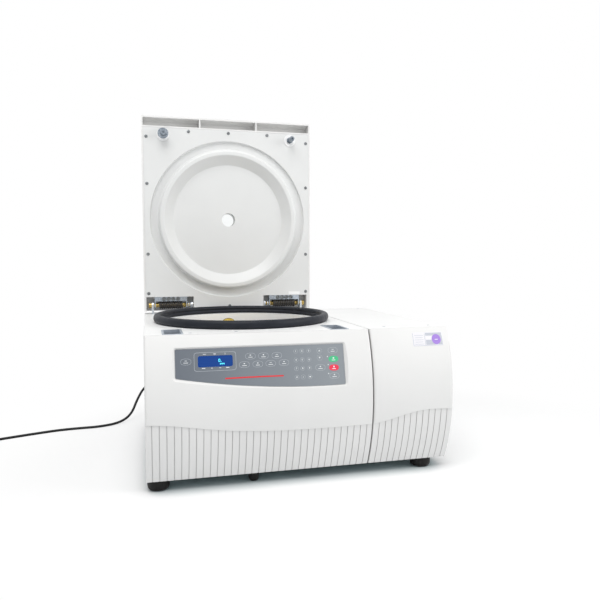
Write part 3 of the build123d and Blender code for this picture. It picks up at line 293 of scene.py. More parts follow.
class Finish:
    """A material whose textures read Object coordinates."""

    def __init__(self, name, roughness=0.5, metallic=0.0, glow=None):
        self.material = bpy.data.materials.new(name)
        self.material.use_nodes = True
        self.tree = self.material.node_tree
        self.shader = self.tree.nodes["Principled BSDF"]
        self.shader.inputs["Roughness"].default_value = roughness
        self.shader.inputs["Metallic"].default_value = metallic
        if glow:
            self.shader.inputs["Emission Color"].default_value = (*glow[:3], 1)
            self.shader.inputs["Emission Strength"].default_value = glow[3]
        self.place = self.tree.nodes.new("ShaderNodeTexCoord").outputs["Object"]
        self.height = None

    def link(self, source, target):
        self.tree.links.new(source, target)

    def node(self, kind, **values):
        """A new node; each value goes to the socket of that name, or else to the node's setting."""
        made = self.tree.nodes.new(kind)
        for key, value in values.items():
            if key in made.inputs:
                made.inputs[key].default_value = value
            else:
                setattr(made, key, value)
        return made

    def stretched(self, scale, turn=(0, 0, 0), shift=(0, 0, 0)):
        """Object coordinates scaled per axis, for grain that runs one way."""
        mapping = self.node("ShaderNodeMapping", Scale=scale, Rotation=turn, Location=shift)
        self.link(self.place, mapping.inputs["Vector"])
        return mapping.outputs[0]

    def placed(self, group, source, **values):
        """A shared node group with this material's own values, fed by one value or vector."""
        made = self.node("ShaderNodeGroup", node_tree=group)
        for key, value in values.items():
            made.inputs[key].default_value = value
        self.link(source, made.inputs[0])
        return made.outputs[0]

    def noise(self, scale, detail=3.0, rough=0.5, place=None):
        """Fractal noise of so many features per metre."""
        return self.placed(grain, place or self.place, Scale=scale, Detail=detail, Roughness=rough)

    def ramp(self, value, low, high, start=0.3, stop=0.7):
        """A colour that goes from low to high with the value."""
        return self.placed(mottle, value, Low=(*low, 1), High=(*high, 1), Start=start, Stop=stop)

    def creased(self, tint, reach, tone):
        """Grooves and steps collect shade: a colour falls to tone where walls are nearer than reach."""
        tight = self.node("ShaderNodeAmbientOcclusion", Distance=reach)
        blend = self.node("ShaderNodeMix", data_type="RGBA", blend_type="MULTIPLY", Factor=1.0)
        self.link(tint, blend.inputs["A"])
        self.link(self.ramp(tight.outputs["AO"], tone, (1, 1, 1), 0.35, 0.95), blend.inputs["B"])
        return blend.outputs["Result"]

    def colour(self, value, low, high, start=0.3, stop=0.7):
        self.link(self.ramp(value, low, high, start, stop), self.shader.inputs["Base Color"])

    def gloss(self, value, low, high):
        self.link(self.placed(wear, value, Low=low, High=high), self.shader.inputs["Roughness"])

    def relief(self, value, strength, distance):
        """Small height differences, in metres."""
        made = self.node("ShaderNodeBump", Strength=strength, Distance=distance)
        self.link(value, made.inputs["Height"])
        if self.height:
            self.link(self.height, made.inputs["Normal"])
        self.height = made.outputs["Normal"]
        self.link(self.height, self.shader.inputs["Normal"])


def moulded(name, low, high, rough=(0.34, 0.46), pebble=900, depth=0.00012, crease_shade=None):
    """Moulded or thermoformed plastic: an even colour with faint clouding and a fine spark texture; where
    crease is given, painted shade darkens its grooves and steps.
    """
    made = Finish(name)
    tint = made.ramp(made.noise(6, 4), low, high)
    # painted shade: the colour falls towards the crease tone in grooves and steps
    if crease_shade:
        tint = made.creased(tint, 0.005, crease_shade)
    made.link(tint, made.shader.inputs["Base Color"])
    made.gloss(made.noise(40, 3), *rough)
    made.relief(made.noise(pebble, 2, 0.6), 0.25, depth)
    return made.material


def powder_coat(name, low, high, rough=(0.38, 0.5)):
    """Powder-coated sheet: orange peel a millimetre or two across."""
    made = Finish(name)
    made.colour(made.noise(5, 4), low, high)
    made.gloss(made.noise(60, 3), *rough)
    made.relief(made.noise(420, 2, 0.5), 0.3, 0.0003)
    made.relief(made.noise(1500, 2, 0.5), 0.15, 0.0001)
    return made.material


def galvanised(name, low, high):
    """Zinc-coated sheet with spangle: cells a centimetre across, each of its own grey."""
    made = Finish(name, metallic=0.85)
    cells = made.node("ShaderNodeTexVoronoi", Scale=90.0)
    made.link(made.place, cells.inputs["Vector"])
    made.colour(cells.outputs["Color"], low, high, 0.2, 0.8)
    made.gloss(made.noise(120, 3), 0.35, 0.55)
    made.relief(cells.outputs["Distance"], 0.1, 0.0001)
    return made.material


def plated(name, low, high, rough=(0.22, 0.42)):
    """Bright zinc plate: bluish, with blotches and fine drawing lines."""
    made = Finish(name, metallic=0.9)
    made.colour(made.noise(160, 5, 0.6), low, high)
    made.gloss(made.noise(300, 4), *rough)
    made.relief(made.noise(700, 3), 0.2, 0.00008)
    return made.material


def spun_steel(name):
    """Bowl of spun stainless steel: rings round the chamber's axis from the distance to it."""
    made = Finish(name, metallic=0.12)
    centre = made.stretched((1, 1, 1), shift=(-chamber_x * mm, -chamber_y * mm, 0))
    length = made.node("ShaderNodeVectorMath", operation="LENGTH")
    flat = made.node("ShaderNodeVectorMath", operation="MULTIPLY")
    flat.inputs[1].default_value = (1, 1, 0)
    made.link(centre, flat.inputs[0])
    made.link(flat.outputs["Vector"], length.inputs[0])
    ring = made.node("ShaderNodeCombineXYZ")
    made.link(length.outputs["Value"], ring.inputs["X"])
    split = made.node("ShaderNodeSeparateXYZ")
    made.link(made.place, split.inputs["Vector"])
    made.link(split.outputs["Z"], ring.inputs["Y"])
    lines = made.noise(900, 3, 0.6, ring.outputs["Vector"])
    made.colour(lines, (0.94, 0.945, 0.95), (0.97, 0.975, 0.98))
    made.gloss(made.noise(25, 3), 0.42, 0.52)
    made.relief(lines, 0.25, 0.00008)
    return made.material


def cast(name, low, high, rough=(0.4, 0.6), metallic=0.8):
    """Cast or milled metal: a sandy surface with slow changes of tone."""
    made = Finish(name, metallic=metallic)
    made.colour(made.noise(35, 5, 0.6), low, high)
    made.gloss(made.noise(90, 3), *rough)
    made.relief(made.noise(1100, 3, 0.6), 0.3, 0.00015)
    return made.material


def anodised(name, low, high):
    """Anodised aluminium: satin, milled lines across it."""
    made = Finish(name, metallic=1.0)
    lines = made.noise(30, 3, 0.5, made.stretched((40, 1, 40)))
    made.colour(lines, low, high)
    made.gloss(made.noise(80, 3), 0.2, 0.34)
    made.relief(lines, 0.08, 0.00005)
    return made.material


def rubbery(name, low, high, rough=(0.45, 0.62), pores=1400, depth=0.00012):
    """Rubber: nearly black, dusty in places, with fine pores."""
    made = Finish(name)
    made.colour(made.noise(30, 5, 0.65), low, high, 0.35, 0.8)
    made.gloss(made.noise(70, 4), *rough)
    made.relief(made.noise(pores, 3, 0.6), 0.3, depth)
    made.shader.inputs["Specular IOR Level"].default_value = 0.25
    return made.material


def foamed(name, low, high):
    """Closed-cell foam: cells a few millimetres across."""
    made = Finish(name, roughness=0.9)
    cells = made.node("ShaderNodeTexVoronoi", Scale=350.0)
    made.link(made.place, cells.inputs["Vector"])
    made.colour(cells.outputs["Distance"], low, high, 0.1, 0.7)
    made.relief(cells.outputs["Distance"], 0.5, 0.0008)
    return made.material


def printed(name, low, high, glow=None, rough=0.4):
    """Screen-printed ink or a lit segment: a faint mottle."""
    made = Finish(name, roughness=rough, glow=glow)
    made.colour(made.noise(700, 2), low, high)
    made.relief(made.noise(1600, 2), 0.1, 0.00005)
    return made.material


def polyester(name, low, high):
    """Keypad film: satin grey with a fine grain, with a painted reflection that makes it paler towards its
    right end.
    """
    made = Finish(name)
    split = made.node("ShaderNodeSeparateXYZ")
    made.link(made.place, split.inputs["Vector"])
    # painted reflection: the colour runs paler along x towards the film's right end, with a little noise
    painted_reflection_drift = made.node("ShaderNodeMath", operation="MULTIPLY_ADD")
    made.link(made.noise(9, 3), painted_reflection_drift.inputs[0])
    painted_reflection_drift.inputs[1].default_value = 0.06
    made.link(split.outputs["X"], painted_reflection_drift.inputs[2])
    span = made.node("ShaderNodeMapRange")
    span.inputs["From Min"].default_value = -0.29
    span.inputs["From Max"].default_value = 0.09
    made.link(painted_reflection_drift.outputs[0], span.inputs["Value"])
    made.colour(span.outputs["Result"], low, high, 0.0, 1.0)
    made.gloss(made.noise(50, 3), 0.3, 0.4)
    made.relief(made.noise(2200, 2), 0.2, 0.00006)
    return made.material


def display_glass(name):
    """Lit blue display: a dot matrix behind a glossy cover."""
    made = Finish(name, roughness=0.3)
    made.shader.inputs["Specular IOR Level"].default_value = 0.15
    dots = made.node("ShaderNodeTexVoronoi", Scale=1.0, Randomness=0.0)
    made.link(made.stretched((1300, 1300, 1300)), dots.inputs["Vector"])
    tint = made.ramp(dots.outputs["Distance"], (0.014, 0.062, 0.26), (0.008, 0.042, 0.2), 0.2, 0.6)
    made.link(tint, made.shader.inputs["Base Color"])
    made.link(tint, made.shader.inputs["Emission Color"])
    made.shader.inputs["Emission Strength"].default_value = 0.25
    return made.material


def circuit(name):
    """Circuit board: green lacquer with paler tracks."""
    made = Finish(name, roughness=0.35)
    tracks = made.node("ShaderNodeTexBrick", Scale=60.0)
    tracks.inputs["Color1"].default_value = (0.02, 0.16, 0.07, 1)
    tracks.inputs["Color2"].default_value = (0.025, 0.2, 0.09, 1)
    tracks.inputs["Mortar"].default_value = (0.08, 0.32, 0.16, 1)
    made.link(made.stretched((1, 1, 1), (math.pi / 2, 0, 0)), tracks.inputs["Vector"])
    made.link(tracks.outputs["Color"], made.shader.inputs["Base Color"])
    made.relief(tracks.outputs["Fac"], 0.3, 0.0001)
    return made.material


def port_glass(name):
    """Clear acrylic of the viewing port, with faint scratches in its gloss."""
    made = Finish(name, roughness=0.05)
    made.shader.inputs["Transmission Weight"].default_value = 1.0
    made.shader.inputs["IOR"].default_value = 1.49
    made.shader.inputs["Base Color"].default_value = (0.95, 0.97, 0.97, 1)
    made.gloss(made.noise(60, 4), 0.02, 0.08)
    return made.material


def ribbed_rubber(name):
    """Strain relief: moulded rings across its length."""
    made = Finish(name, roughness=0.55)
    rings = made.node("ShaderNodeTexWave", wave_type="BANDS", bands_direction="Y", Scale=45.0)
    made.link(made.place, rings.inputs["Vector"])
    made.colour(made.noise(60, 4), (0.012, 0.012, 0.013), (0.03, 0.03, 0.031))
    made.relief(rings.outputs["Fac"], 0.6, 0.0012)
    return made.material


# painted shade darkens the front mouldings' grooves and steps
shell_white = moulded("shell_white", (0.80, 0.796, 0.786), (0.83, 0.826, 0.816),
                      crease_shade=(0.79, 0.79, 0.79))
sheet_white = powder_coat("sheet_white", (0.9, 0.9, 0.895), (0.93, 0.93, 0.925))
liner_white = moulded("liner_white", (0.735, 0.74, 0.735), (0.775, 0.78, 0.775), (0.3, 0.4), 700)
zinc_sheet = galvanised("zinc_sheet", (0.42, 0.44, 0.45), (0.66, 0.68, 0.69))
keypad_film = polyester("keypad_film", (0.135, 0.155, 0.185), (0.27, 0.295, 0.32))
display_blue = display_glass("display_blue")
board_green = circuit("board_green")
bowl_steel = spun_steel("bowl_steel")
white_foam = foamed("white_foam", (0.7, 0.7, 0.68), (0.88, 0.88, 0.86))
cream_foam = foamed("cream_foam", (0.55, 0.5, 0.36), (0.82, 0.78, 0.64))
dark_enamel = cast("dark_enamel", (0.02, 0.022, 0.024), (0.045, 0.048, 0.05), metallic=0.3)
raw_aluminium = cast("raw_aluminium", (0.58, 0.59, 0.6), (0.74, 0.75, 0.76))
seal_black = rubbery("seal_black", (0.009, 0.011, 0.017), (0.018, 0.021, 0.03), (0.4, 0.55))
foot_black = rubbery("foot_black", (0.005, 0.0045, 0.0045), (0.014, 0.013, 0.012), (0.3, 0.5))
compressor_black = powder_coat("compressor_black", (0.012, 0.012, 0.013), (0.03, 0.03, 0.031))
black_nylon = moulded("black_nylon", (0.012, 0.012, 0.013), (0.026, 0.026, 0.028), (0.4, 0.55), 1200)
latch_grey = cast("latch_grey", (0.38, 0.42, 0.48), (0.55, 0.6, 0.66), (0.3, 0.45), 0.4)
striker_zinc = plated("striker_zinc", (0.11, 0.14, 0.17), (0.4, 0.44, 0.49), (0.3, 0.5))
screw_zinc = plated("screw_zinc", (0.1, 0.105, 0.11), (0.34, 0.36, 0.37), (0.3, 0.5))
cup_white = moulded("cup_white", (0.9, 0.9, 0.9), (0.94, 0.94, 0.94), (0.25, 0.35))
bright_zinc = plated("bright_zinc", (0.42, 0.46, 0.5), (0.72, 0.75, 0.78))
pin_brass = plated("pin_brass", (0.28, 0.19, 0.05), (0.62, 0.45, 0.15))
spring_wire = cast("spring_wire", (0.018, 0.016, 0.014), (0.045, 0.04, 0.036), (0.24, 0.34), 0.2)
lead_black = rubbery("lead_black", (0.008, 0.008, 0.009), (0.018, 0.018, 0.02), (0.3, 0.42), 900, 0.00006)
bracket_zinc = plated("bracket_zinc", (0.34, 0.39, 0.45), (0.56, 0.61, 0.67))
gold_yoke = anodised("gold_yoke", (0.62, 0.42, 0.06), (0.78, 0.56, 0.12))
cap_gold = plated("cap_gold", (0.62, 0.42, 0.05), (0.76, 0.55, 0.1), (0.12, 0.2))
carrier_grey = anodised("carrier_grey", (0.34, 0.36, 0.39), (0.46, 0.48, 0.51))
relief_rubber = ribbed_rubber("relief_rubber")
pane_clear = port_glass("pane_clear")
pale_ink = printed("pale_ink", (0.46, 0.49, 0.53), (0.54, 0.57, 0.61))
white_ink = printed("white_ink", (0.78, 0.8, 0.82), (0.86, 0.88, 0.9))
red_ink = printed("red_ink", (0.72, 0.02, 0.03), (0.8, 0.035, 0.045))
start_green = printed("start_green", (0.06, 0.5, 0.22), (0.09, 0.58, 0.28))
stop_red = printed("stop_red", (0.8, 0.03, 0.08), (0.88, 0.05, 0.1))
lit_cyan = printed("lit_cyan", (0.05, 0.5, 0.62), (0.08, 0.6, 0.7), (0.1, 0.75, 0.95, 0.9))
label_paper = printed("label_paper", (0.83, 0.82, 0.85), (0.88, 0.87, 0.9), rough=0.3)
label_grey = printed("label_grey", (0.5, 0.52, 0.58), (0.58, 0.6, 0.66))
label_violet = printed("label_violet", (0.34, 0.19, 0.66), (0.42, 0.26, 0.74))

slot_finish = {
    "zinc_grey": zinc_sheet, "body_white": shell_white, "deck_white": sheet_white, "membrane": keypad_film,
    "display": display_blue, "board_green": board_green, "stainless": bowl_steel, "foam": cream_foam,
    "dark_steel": dark_enamel, "bare_aluminium": raw_aluminium, "seal_rubber": seal_black,
    "black_rubber": foot_black, "black_paint": compressor_black, "black_plastic": black_nylon,
    "latch_grey": latch_grey, "zinc_plate": bright_zinc, "brass_parts": pin_brass,
    "spring_black": spring_wire, "lead_black": lead_black, "liner_white": liner_white, "clear": pane_clear,
    "bracket_white": bracket_zinc, "gold_anodised": gold_yoke, "carrier_grey": carrier_grey,
}
node_finish = {"strain_relief": relief_rubber, "striker_cups": cup_white, "lid_insulation": white_foam}
for name, node in nodes.items():
    slot_name = node.data.materials[0].name.split(".")[0]
    node.data.materials[0] = node_finish.get(name, slot_finish[slot_name])


# ---------------------------------------------------------------- mains lead
def lay_lead():
    """The lead's centre line: the free run's points, then the coil's turns. The inner column of turns
    climbs at radius 40, steps out at the top and comes down at radius 48 to the tail."""
    coil_x, coil_y, all_turns = -873, 181, 5.25
    run = np.array((
        (-313, 371, 132), (-313, 412, 132), (-343, 444, 124), (-382, 444, 97), (-405, 424, 61),
        (-424, 388, 19), (-459, 347, 4.4), (-518, 315, 4.2), (-580, 312, 4.2), (-640, 305, 4.2),
        (-706, 282, 4.2), (-772, 257, 4.2), (-832, 232, 4.2),
    ), float)
    turns = np.arange(0, all_turns + 0.001, 1 / 14)
    turns[-1] = all_turns
    angle = np.pi / 2 + 2 * np.pi * turns
    radius = np.interp(turns, (0, 0.3, 3.0, 3.25, all_turns), (44.5, 40.6, 40.6, 48.6, 48.6))
    height = np.interp(turns, (0, 0.15, 3.05, 3.2, all_turns), (4.2, 4.2, 28.6, 28.6, 12))
    wound = np.stack((coil_x + radius * np.cos(angle), coil_y + radius * np.sin(angle), height), axis=-1)
    tail = np.array(((-921, 165, 12), (-921, 145, 12), (-921, 124.5, 12)), float)
    points = np.vstack((run, wound, tail)) * mm
    curve = bpy.data.curves.new("mains_lead_run", "CURVE")
    curve.dimensions = "3D"
    spline = curve.splines.new("NURBS")
    spline.points.add(len(points) - 1)
    spline.points.foreach_set("co", np.hstack((points, np.ones((len(points), 1)))).ravel())
    spline.order_u = 3
    spline.use_endpoint_u = True
    spline.resolution_u = 6
    curve.bevel_depth = 0.004
    curve.bevel_resolution = 4
    curve.use_fill_caps = True
    curve.materials.append(lead_black)
    lead = bpy.data.objects.new("mains_lead_run", curve)
    bpy.context.scene.collection.objects.link(lead)
    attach(lead, "base")
    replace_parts(lead, "mains_lead", "lead_coil")


lay_lead()


# ---------------------------------------------------------------- door seal
def door_seal():
    """A closed section carried round the chamber. Its outer side is one superellipse of power 2.2;
    on the inner side a foot ellipse and a bulb ellipse meet in a groove."""
    half_height, half_width, power, sides = 11, 10, 2.2, 200
    height = half_height * (1 - np.cos(np.linspace(0, np.pi, 34)))
    outer = half_width * np.clip(1 - np.abs(height / half_height - 1) ** power, 0, None) ** (1 / power)
    foot = half_width * np.sqrt(np.clip(1 - ((height - 6.2) / 6.2) ** 2, 0, None))
    bulb = 9.4 * np.sqrt(np.clip(1 - ((height - 15.4) / 6.6) ** 2, 0, None))
    inner = np.maximum(foot, bulb)
    radius = 233.6 + np.concatenate((outer, -inner[-2:0:-1]))
    rise = seal_z + np.concatenate((height, height[-2:0:-1]))
    angle = np.linspace(0, 2 * np.pi, sides, endpoint=False)
    grid = np.stack((
        chamber_x + radius[:, None] * np.cos(angle), chamber_y + radius[:, None] * np.sin(angle),
        np.repeat(rise[:, None], sides, axis=1)), axis=-1)
    seal = piece("door_seal", [woven(grid, True, True)], "base", seal_black)
    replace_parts(seal, "gasket")
    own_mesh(seal)


door_seal()


# ---------------------------------------------------------------- hinges
def wound_spring(start, reach):
    """A wire wound round the hinge pin: centre (start + reach t, R cos 2 pi n t, R sin 2 pi n t) with a
    round section, and closer wound for a turn at each end."""
    turns, coil, wire = 12.0, 9.3, 2.9
    t = np.linspace(0, 1, 640)
    pitch = np.clip(np.minimum(t, 1 - t) * turns, 0, 1)
    along = np.cumsum(0.72 + 0.28 * pitch)
    along = (along - along[0]) / (along[-1] - along[0])
    around = 2 * np.pi * turns * t + 0.4
    section = np.linspace(0, 2 * np.pi, 10, endpoint=False)
    out = coil + wire * np.cos(section)
    x = start + reach * (0.04 + 0.92 * along)[:, None] + wire * np.sin(section)
    y = hinge_y + out * np.cos(around)[:, None]
    z = hinge_z + out * np.sin(around)[:, None]
    grid = np.stack((x, y, z), axis=-1)
    ends = [np.broadcast_to(row.mean(axis=0), row.shape) for row in (grid[0], grid[-1])]
    return woven(np.vstack((ends[0][None], grid, ends[1][None])), round_columns=True)


springs = piece("torsion_springs", [wound_spring(-332.05, 79), wound_spring(35.35, 79)],
                "base", spring_wire)
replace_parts(springs, "hinge_springs")


def web_screw(x):
    """A cheese head on a hinge bracket's web, with a deep hex socket."""
    profile = [(0, -0.4), (6.7, -0.4), (6.7, 1.9), (5.8, 2.6), (3.8, 2.6), (3.5, 0.2), (0, 0.2)]
    return turned(profile, (x, 270.1, 411.8), 30, "y", (6, [4, 5]))


web_screws = [web_screw(first + 14.5 * k) for first in (-314.3, 53.1) for k in range(4)]
piece("bracket_screw_heads", web_screws, "lid", screw_zinc, smooth=False)

sleeve = ((6.1, -3.6), (7.9, -3.6), (8.4, -3.1), (8.4, -1.6), (7.4, -1.2), (7.4, 3.1), (6.9, 3.6),
          (6.1, 3.6))
washer = ((6.4, 0), (8.6, 0), (8.6, 3.2), (6.4, 3.2))


def rings(profile, places):
    """Rings on the hinge pins: a closed profile of (radius, x) carried round the pin's axis."""
    made, sides = [], 28
    for x in places:
        grid, _ = turned(profile, (x, hinge_y, hinge_z), sides, "x")
        made.append(woven(grid.reshape(len(profile), sides, 3), True, True))
    return made


sleeves = piece("flanged_bushings", rings(sleeve, (-335.8, -249.3, 31.6, 118.1)),
                "base", pin_brass)
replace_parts(sleeves, "spring_bushings")
piece("pin_washers", rings(washer, (-239.0, -233.5, 18.0, 23.5)), "base", bright_zinc)


# ---------------------------------------------------------------- rotor knob
def domed_knob():
    """The tie-down knob: a grip of 24 flats under an elliptic dome, bored for the spindle's stud."""
    t = np.linspace(0, np.pi / 2, 10)
    dome = np.stack((21 * np.cos(t), 351 + 6.5 * np.sin(t)), axis=-1)
    foot = [(0, 346.5), (10.1, 346.5), (10.1, 342.3), (21.5, 342.3), (23.4, 344), (23.4, 349.5)]
    return turned(np.vstack((foot, dome)), (chamber_x, chamber_y, 0), 96, "z", (24, [4, 5]))


def boss_cap(turn):
    """A polished cap on one arm's boss: an elliptic dome that fits over the boss's own dome."""
    t = np.linspace(0, np.pi / 2, 12)
    dome = np.stack((20 * np.cos(t), 344.5 + 13 * np.sin(t)), axis=-1)
    under = [(0, 353.1), (14, 350.5), (19.6, 343.6)]
    angle = math.radians(first_arm + turn)
    spot = (chamber_x + arm_reach * math.cos(angle), chamber_y + arm_reach * math.sin(angle), 0)
    return turned(np.vstack((under, dome)), spot, 40)


piece("boss_caps", [boss_cap(turn) for turn in (0, 90, 180, 270)], "rotor", cap_gold)
knob = piece("domed_knob", [domed_knob()], "knob", gold_yoke, smooth=False)
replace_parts(knob, "tie_down_knob")


# ---------------------------------------------------------------- dished lid liner
def arc(centre, reach, first, last, count=9):
    """Points on an ellipse arc between two angles in degrees, as (radius, depth)."""
    angle = np.radians(np.linspace(first, last, count))
    return np.stack((centre[0] + reach[0] * np.cos(angle), centre[1] + reach[1] * np.sin(angle)), axis=-1)


def held(profile):
    """The profile with a row close to each end of its long straight runs, so that they shade flat."""
    step = np.diff(profile, axis=0)
    length = np.hypot(step[:, 0], step[:, 1])
    long = length > 3
    share = (0.5 / np.maximum(length, 1))[:, None]
    near, far = (profile[:-1] + step * share)[long], (profile[1:] - step * share)[long]
    after = np.nonzero(long)[0] + 1
    pairs = np.stack((near, far), axis=1).reshape(-1, 2)
    return np.insert(profile, np.repeat(after, 2), pairs, axis=0)


def liner_corners():
    """Corners of the inner plate's outline with its two hinge pockets cut out, from the dish's middle."""
    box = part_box("lid_liner")
    left, right = box[0][0] / mm - chamber_x, box[1][0] / mm - chamber_x
    low, high = box[0][2] / mm - dish_z, box[1][2] / mm - dish_z
    pocket = 419.0 - dish_z
    inner, outer = -222.05 - chamber_x, 4.35 - chamber_x
    return np.array(((left, high), (left, pocket), (inner, pocket), (inner, low),
                     (outer, low), (outer, pocket), (right, pocket), (right, high)))


def plate_edge(corners, columns=360):
    """The outline met by rays from the dish's middle, with the ray nearest each corner moved onto it."""
    angle = np.linspace(-np.pi, np.pi, columns, endpoint=False)
    aim = np.stack((np.cos(angle), np.sin(angle)), axis=-1)[:, None]
    start, along = corners[None], np.roll(corners, -1, axis=0)[None] - corners[None]
    cross = aim[..., 0] * along[..., 1] - aim[..., 1] * along[..., 0]
    cross = np.where(np.abs(cross) < 1e-9, 1e-9, cross)
    reach = (start[..., 0] * along[..., 1] - start[..., 1] * along[..., 0]) / cross
    share = (start[..., 0] * aim[..., 1] - start[..., 1] * aim[..., 0]) / cross
    reach = np.where((reach > 0) & (share >= -1e-9) & (share <= 1 + 1e-9), reach, np.inf).min(axis=1)
    edge = aim[:, 0] * reach[:, None]
    apart = angle[:, None] - np.arctan2(corners[:, 1], corners[:, 0])
    nearest = np.abs(np.angle(np.exp(1j * apart))).argmin(axis=0)
    edge[nearest] = corners
    return angle, edge


def dished_liner():
    """The inner plate and its dish: a profile of (radius, depth) round the dish's middle, whose crest and
    shoulders are ellipse arcs, then a flat plate out to the outline, and the back of both."""
    port, rim, thick, back = 21.3, 248.5, 3, 17.5
    front = held(np.vstack((
        [(port, back), (port, 14.5), (21.8, 14)], arc((173, 10), (4, 4), 90, 49.3, 5),
        arc((205.7, -4.5), (6, 6), 229.3, 270, 7), arc((212.5, -4), (6.5, 6.5), 270, 360, 12),
        arc((225.2, 4), (6, 6), 180, 90, 8), arc((243.5, 6.5), (3.5, 3.5), 90, 0, 6),
        arc((248.2, 1.2), (1.2, 1.2), 180, 270, 4))))
    angle, edge = plate_edge(liner_corners())
    turn = np.stack((np.cos(angle), np.sin(angle)), axis=-1)
    flat = front[:, None, :1] * turn[None]
    deep = np.repeat(front[:, 1:], len(angle), axis=1)
    ring = turn * rim
    flat = np.concatenate((flat, (ring * 0.5 + edge * 0.5)[None], edge[None], edge[None], ring[None],
                           ring[None], (turn * port)[None]))
    deep = np.vstack((deep, np.repeat([0, 0, thick, thick, back, back], len(angle)).reshape(6, -1)))
    grid = np.stack((chamber_x + flat[..., 0], plate_y + deep, dish_z + flat[..., 1]), axis=-1)
    return woven(grid, round_rows=True, round_columns=True)


# the plate's narrow strips beside the hinge pockets
side_strips = [patch(bar(1.55, 41.0), (-368.825, 398.5), on_lid, -3, 0),
               patch(bar(5.95, 41.0), (153.325, 398.5), on_lid, -3, 0)]
liner = piece("dished_liner", [dished_liner()] + side_strips, "lid", liner_white)
curved = [abs(face.normal.y) < 0.9999 for face in liner.data.polygons]
liner.data.polygons.foreach_set("use_smooth", np.array(curved))
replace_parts(liner, "lid_liner")


# ---------------------------------------------------------------- lid fittings
def cross_head(x, z):
    """A pan head with a cross recess: dome height falls with the square of the radius, and is cut down
    where the angle is near one of four arms and the radius is short."""
    widest, tall, arm_half, arm_long, cut, foot_y = 4.9, 1.9, 0.7, 3.3, 1.5, plate_y + 0.3
    radius = np.linspace(0, widest, 13)[:, None]
    angle = np.linspace(0, 2 * np.pi, 32, endpoint=False)[None, :]
    dome = tall * (1 - 0.4 * (radius / widest) ** 2) * np.ones_like(angle)
    arm = np.minimum(np.abs(radius * np.sin(2 * angle)) / 2, widest)
    height = dome - np.where((arm < arm_half) & (radius < arm_long), cut, 0.0)
    grid = np.stack((x + radius * np.cos(angle), plate_y - height, z + radius * np.sin(angle)), axis=-1)
    skirt = np.array(grid[-1:])
    skirt[..., 1] = foot_y
    middle = np.broadcast_to(np.array((x, foot_y, z)), skirt.shape)
    return woven(np.vstack((grid, skirt, middle)), round_columns=True)


head_places = [(x, z) for x in (-360.5, 147.2) for z in (915.6, 771.6, 553.6, 430.1)]
head_places += [(-231.6, 936.0), (-106.6, 936.0), (18.3, 936.0), (-106.6, 387.1)]
heads = piece("liner_screw_heads", [cross_head(x, z) for x, z in head_places],
              "lid", screw_zinc)
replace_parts(heads, "lid_screws")

disc_post = [
    (0, 0), (5, 0), (5, 22.6), (15.6, 23), (16.3, 23.7), (16.3, 25.3), (15.6, 26), (11.5, 26), (11.2, 25.7),
    (8.6, 25.7), (8.3, 26), (7.4, 26), (8, 26.6), (8, 30.3), (7.4, 31), (3.6, 31), (3.4, 28.4), (0, 28.4),
]
bolt_post = [
    (0, 0), (5, 0), (5, 2), (9, 2), (9, 7), (5, 7), (5, 23), (7.4, 23), (8, 23.6), (8, 37.2), (7.2, 38),
    (3.8, 38), (3.6, 33), (0, 33),
]
posts = (("left_striker_post", disc_post, -310, [15, 16], "left_striker"),
         ("right_striker_post", bolt_post, 93, [3, 4, 11, 12], "right_striker"))
for name, profile, x, flats, node in posts:
    post = turned(profile, (x, plate_y, 922.5), 48, "y", (6, flats))
    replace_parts(piece(name, [post], "lid", striker_zinc, smooth=False), node)

blank_label = patch(bar(38, 9), (108, 426.0), on_lid, -0.05, 0.15)
piece("blank_lid_label", [blank_label], "lid", cup_white, smooth=False)


# ---------------------------------------------------------------- control panel
key_places = [(91.7, 19.9), (239.7, 27.2), (270.4, 26.8), (302.4, 26.5), (224.7, 8.2), (256.3, 8.2),
              (286.8, 8.4), (318.7, 8.9), (406.7, -6.6), (439.9, 33.2), (440.4, -27.4)]
pad_columns, pad_rows = (348.0, 363.2, 380.1), (34.3, 13.6, -6.7, -27.0)
arrow_places = ((406.4, 33.5, 1), (406.3, 17.0, -1))
lamp_places = ((425.8, 18.6), (426.5, -0.8), (426.1, -21.7))


def key_outlines():
    """Printed outlines of the keys and of the display's frame."""
    lines = [outline_ring(oval(24, 14.5), spot, 0.55, on_panel) for spot in key_places]
    lines += [outline_ring(oval(10.5, 10.5, 2, 28), (u, v), 0.4, on_panel)
              for u in pad_columns for v in pad_rows]
    lines += [outline_ring(oval(13, 13, 2, 28), (u, v), 0.4, on_panel) for u, v, _ in arrow_places]
    lines.append(outline_ring(oval(96, 43, 12, 80), (158, 18.4), 0.7, on_panel))
    return lines


def key_legends():
    """Short bars where the keys have words, and arrows and lamps."""
    marks = []
    for k, (u, v) in enumerate(key_places):
        icon, rise = (oval(3.6, 2.4, 2, 16), 2.4) if k % 3 else (bar(5, 1.1), 2.2)
        marks.append(patch(icon, (u, v + rise), on_panel))
        marks.append(patch(bar(10.5 - k % 2, 1.3), (u, v - 2.4), on_panel))
    arrow = np.array(((0, 2.3), (-1.3, 0.2), (-2.4, -1.7), (0, -1.7), (2.4, -1.7), (1.3, 0.2)))
    for u, v, way in arrow_places:
        marks.append(patch(arrow[::way] * np.array((1, way)), (u, v), on_panel))
    marks += [patch(oval(2.6, 2.6, 2, 16), spot, on_panel) for spot in lamp_places]
    above, below = 35.6, 3.6   # the two rows of bars beside the display
    for u, v, wide, high in ((134, above, 7, 1), (157, above, 5, 1.8), (181, above, 0.9, 4),
                             (131, below, 7.5, 1.6), (150, below, 3.5, 1.2), (169, below, 5, 1),
                             (186, below, 7.5, 1.6)):
        marks.append(patch(bar(wide, high), (u, v), on_panel))
    return marks


piece("key_outlines", key_outlines(), "base", pale_ink, smooth=False)
piece("key_legends", key_legends(), "base", white_ink, smooth=False)


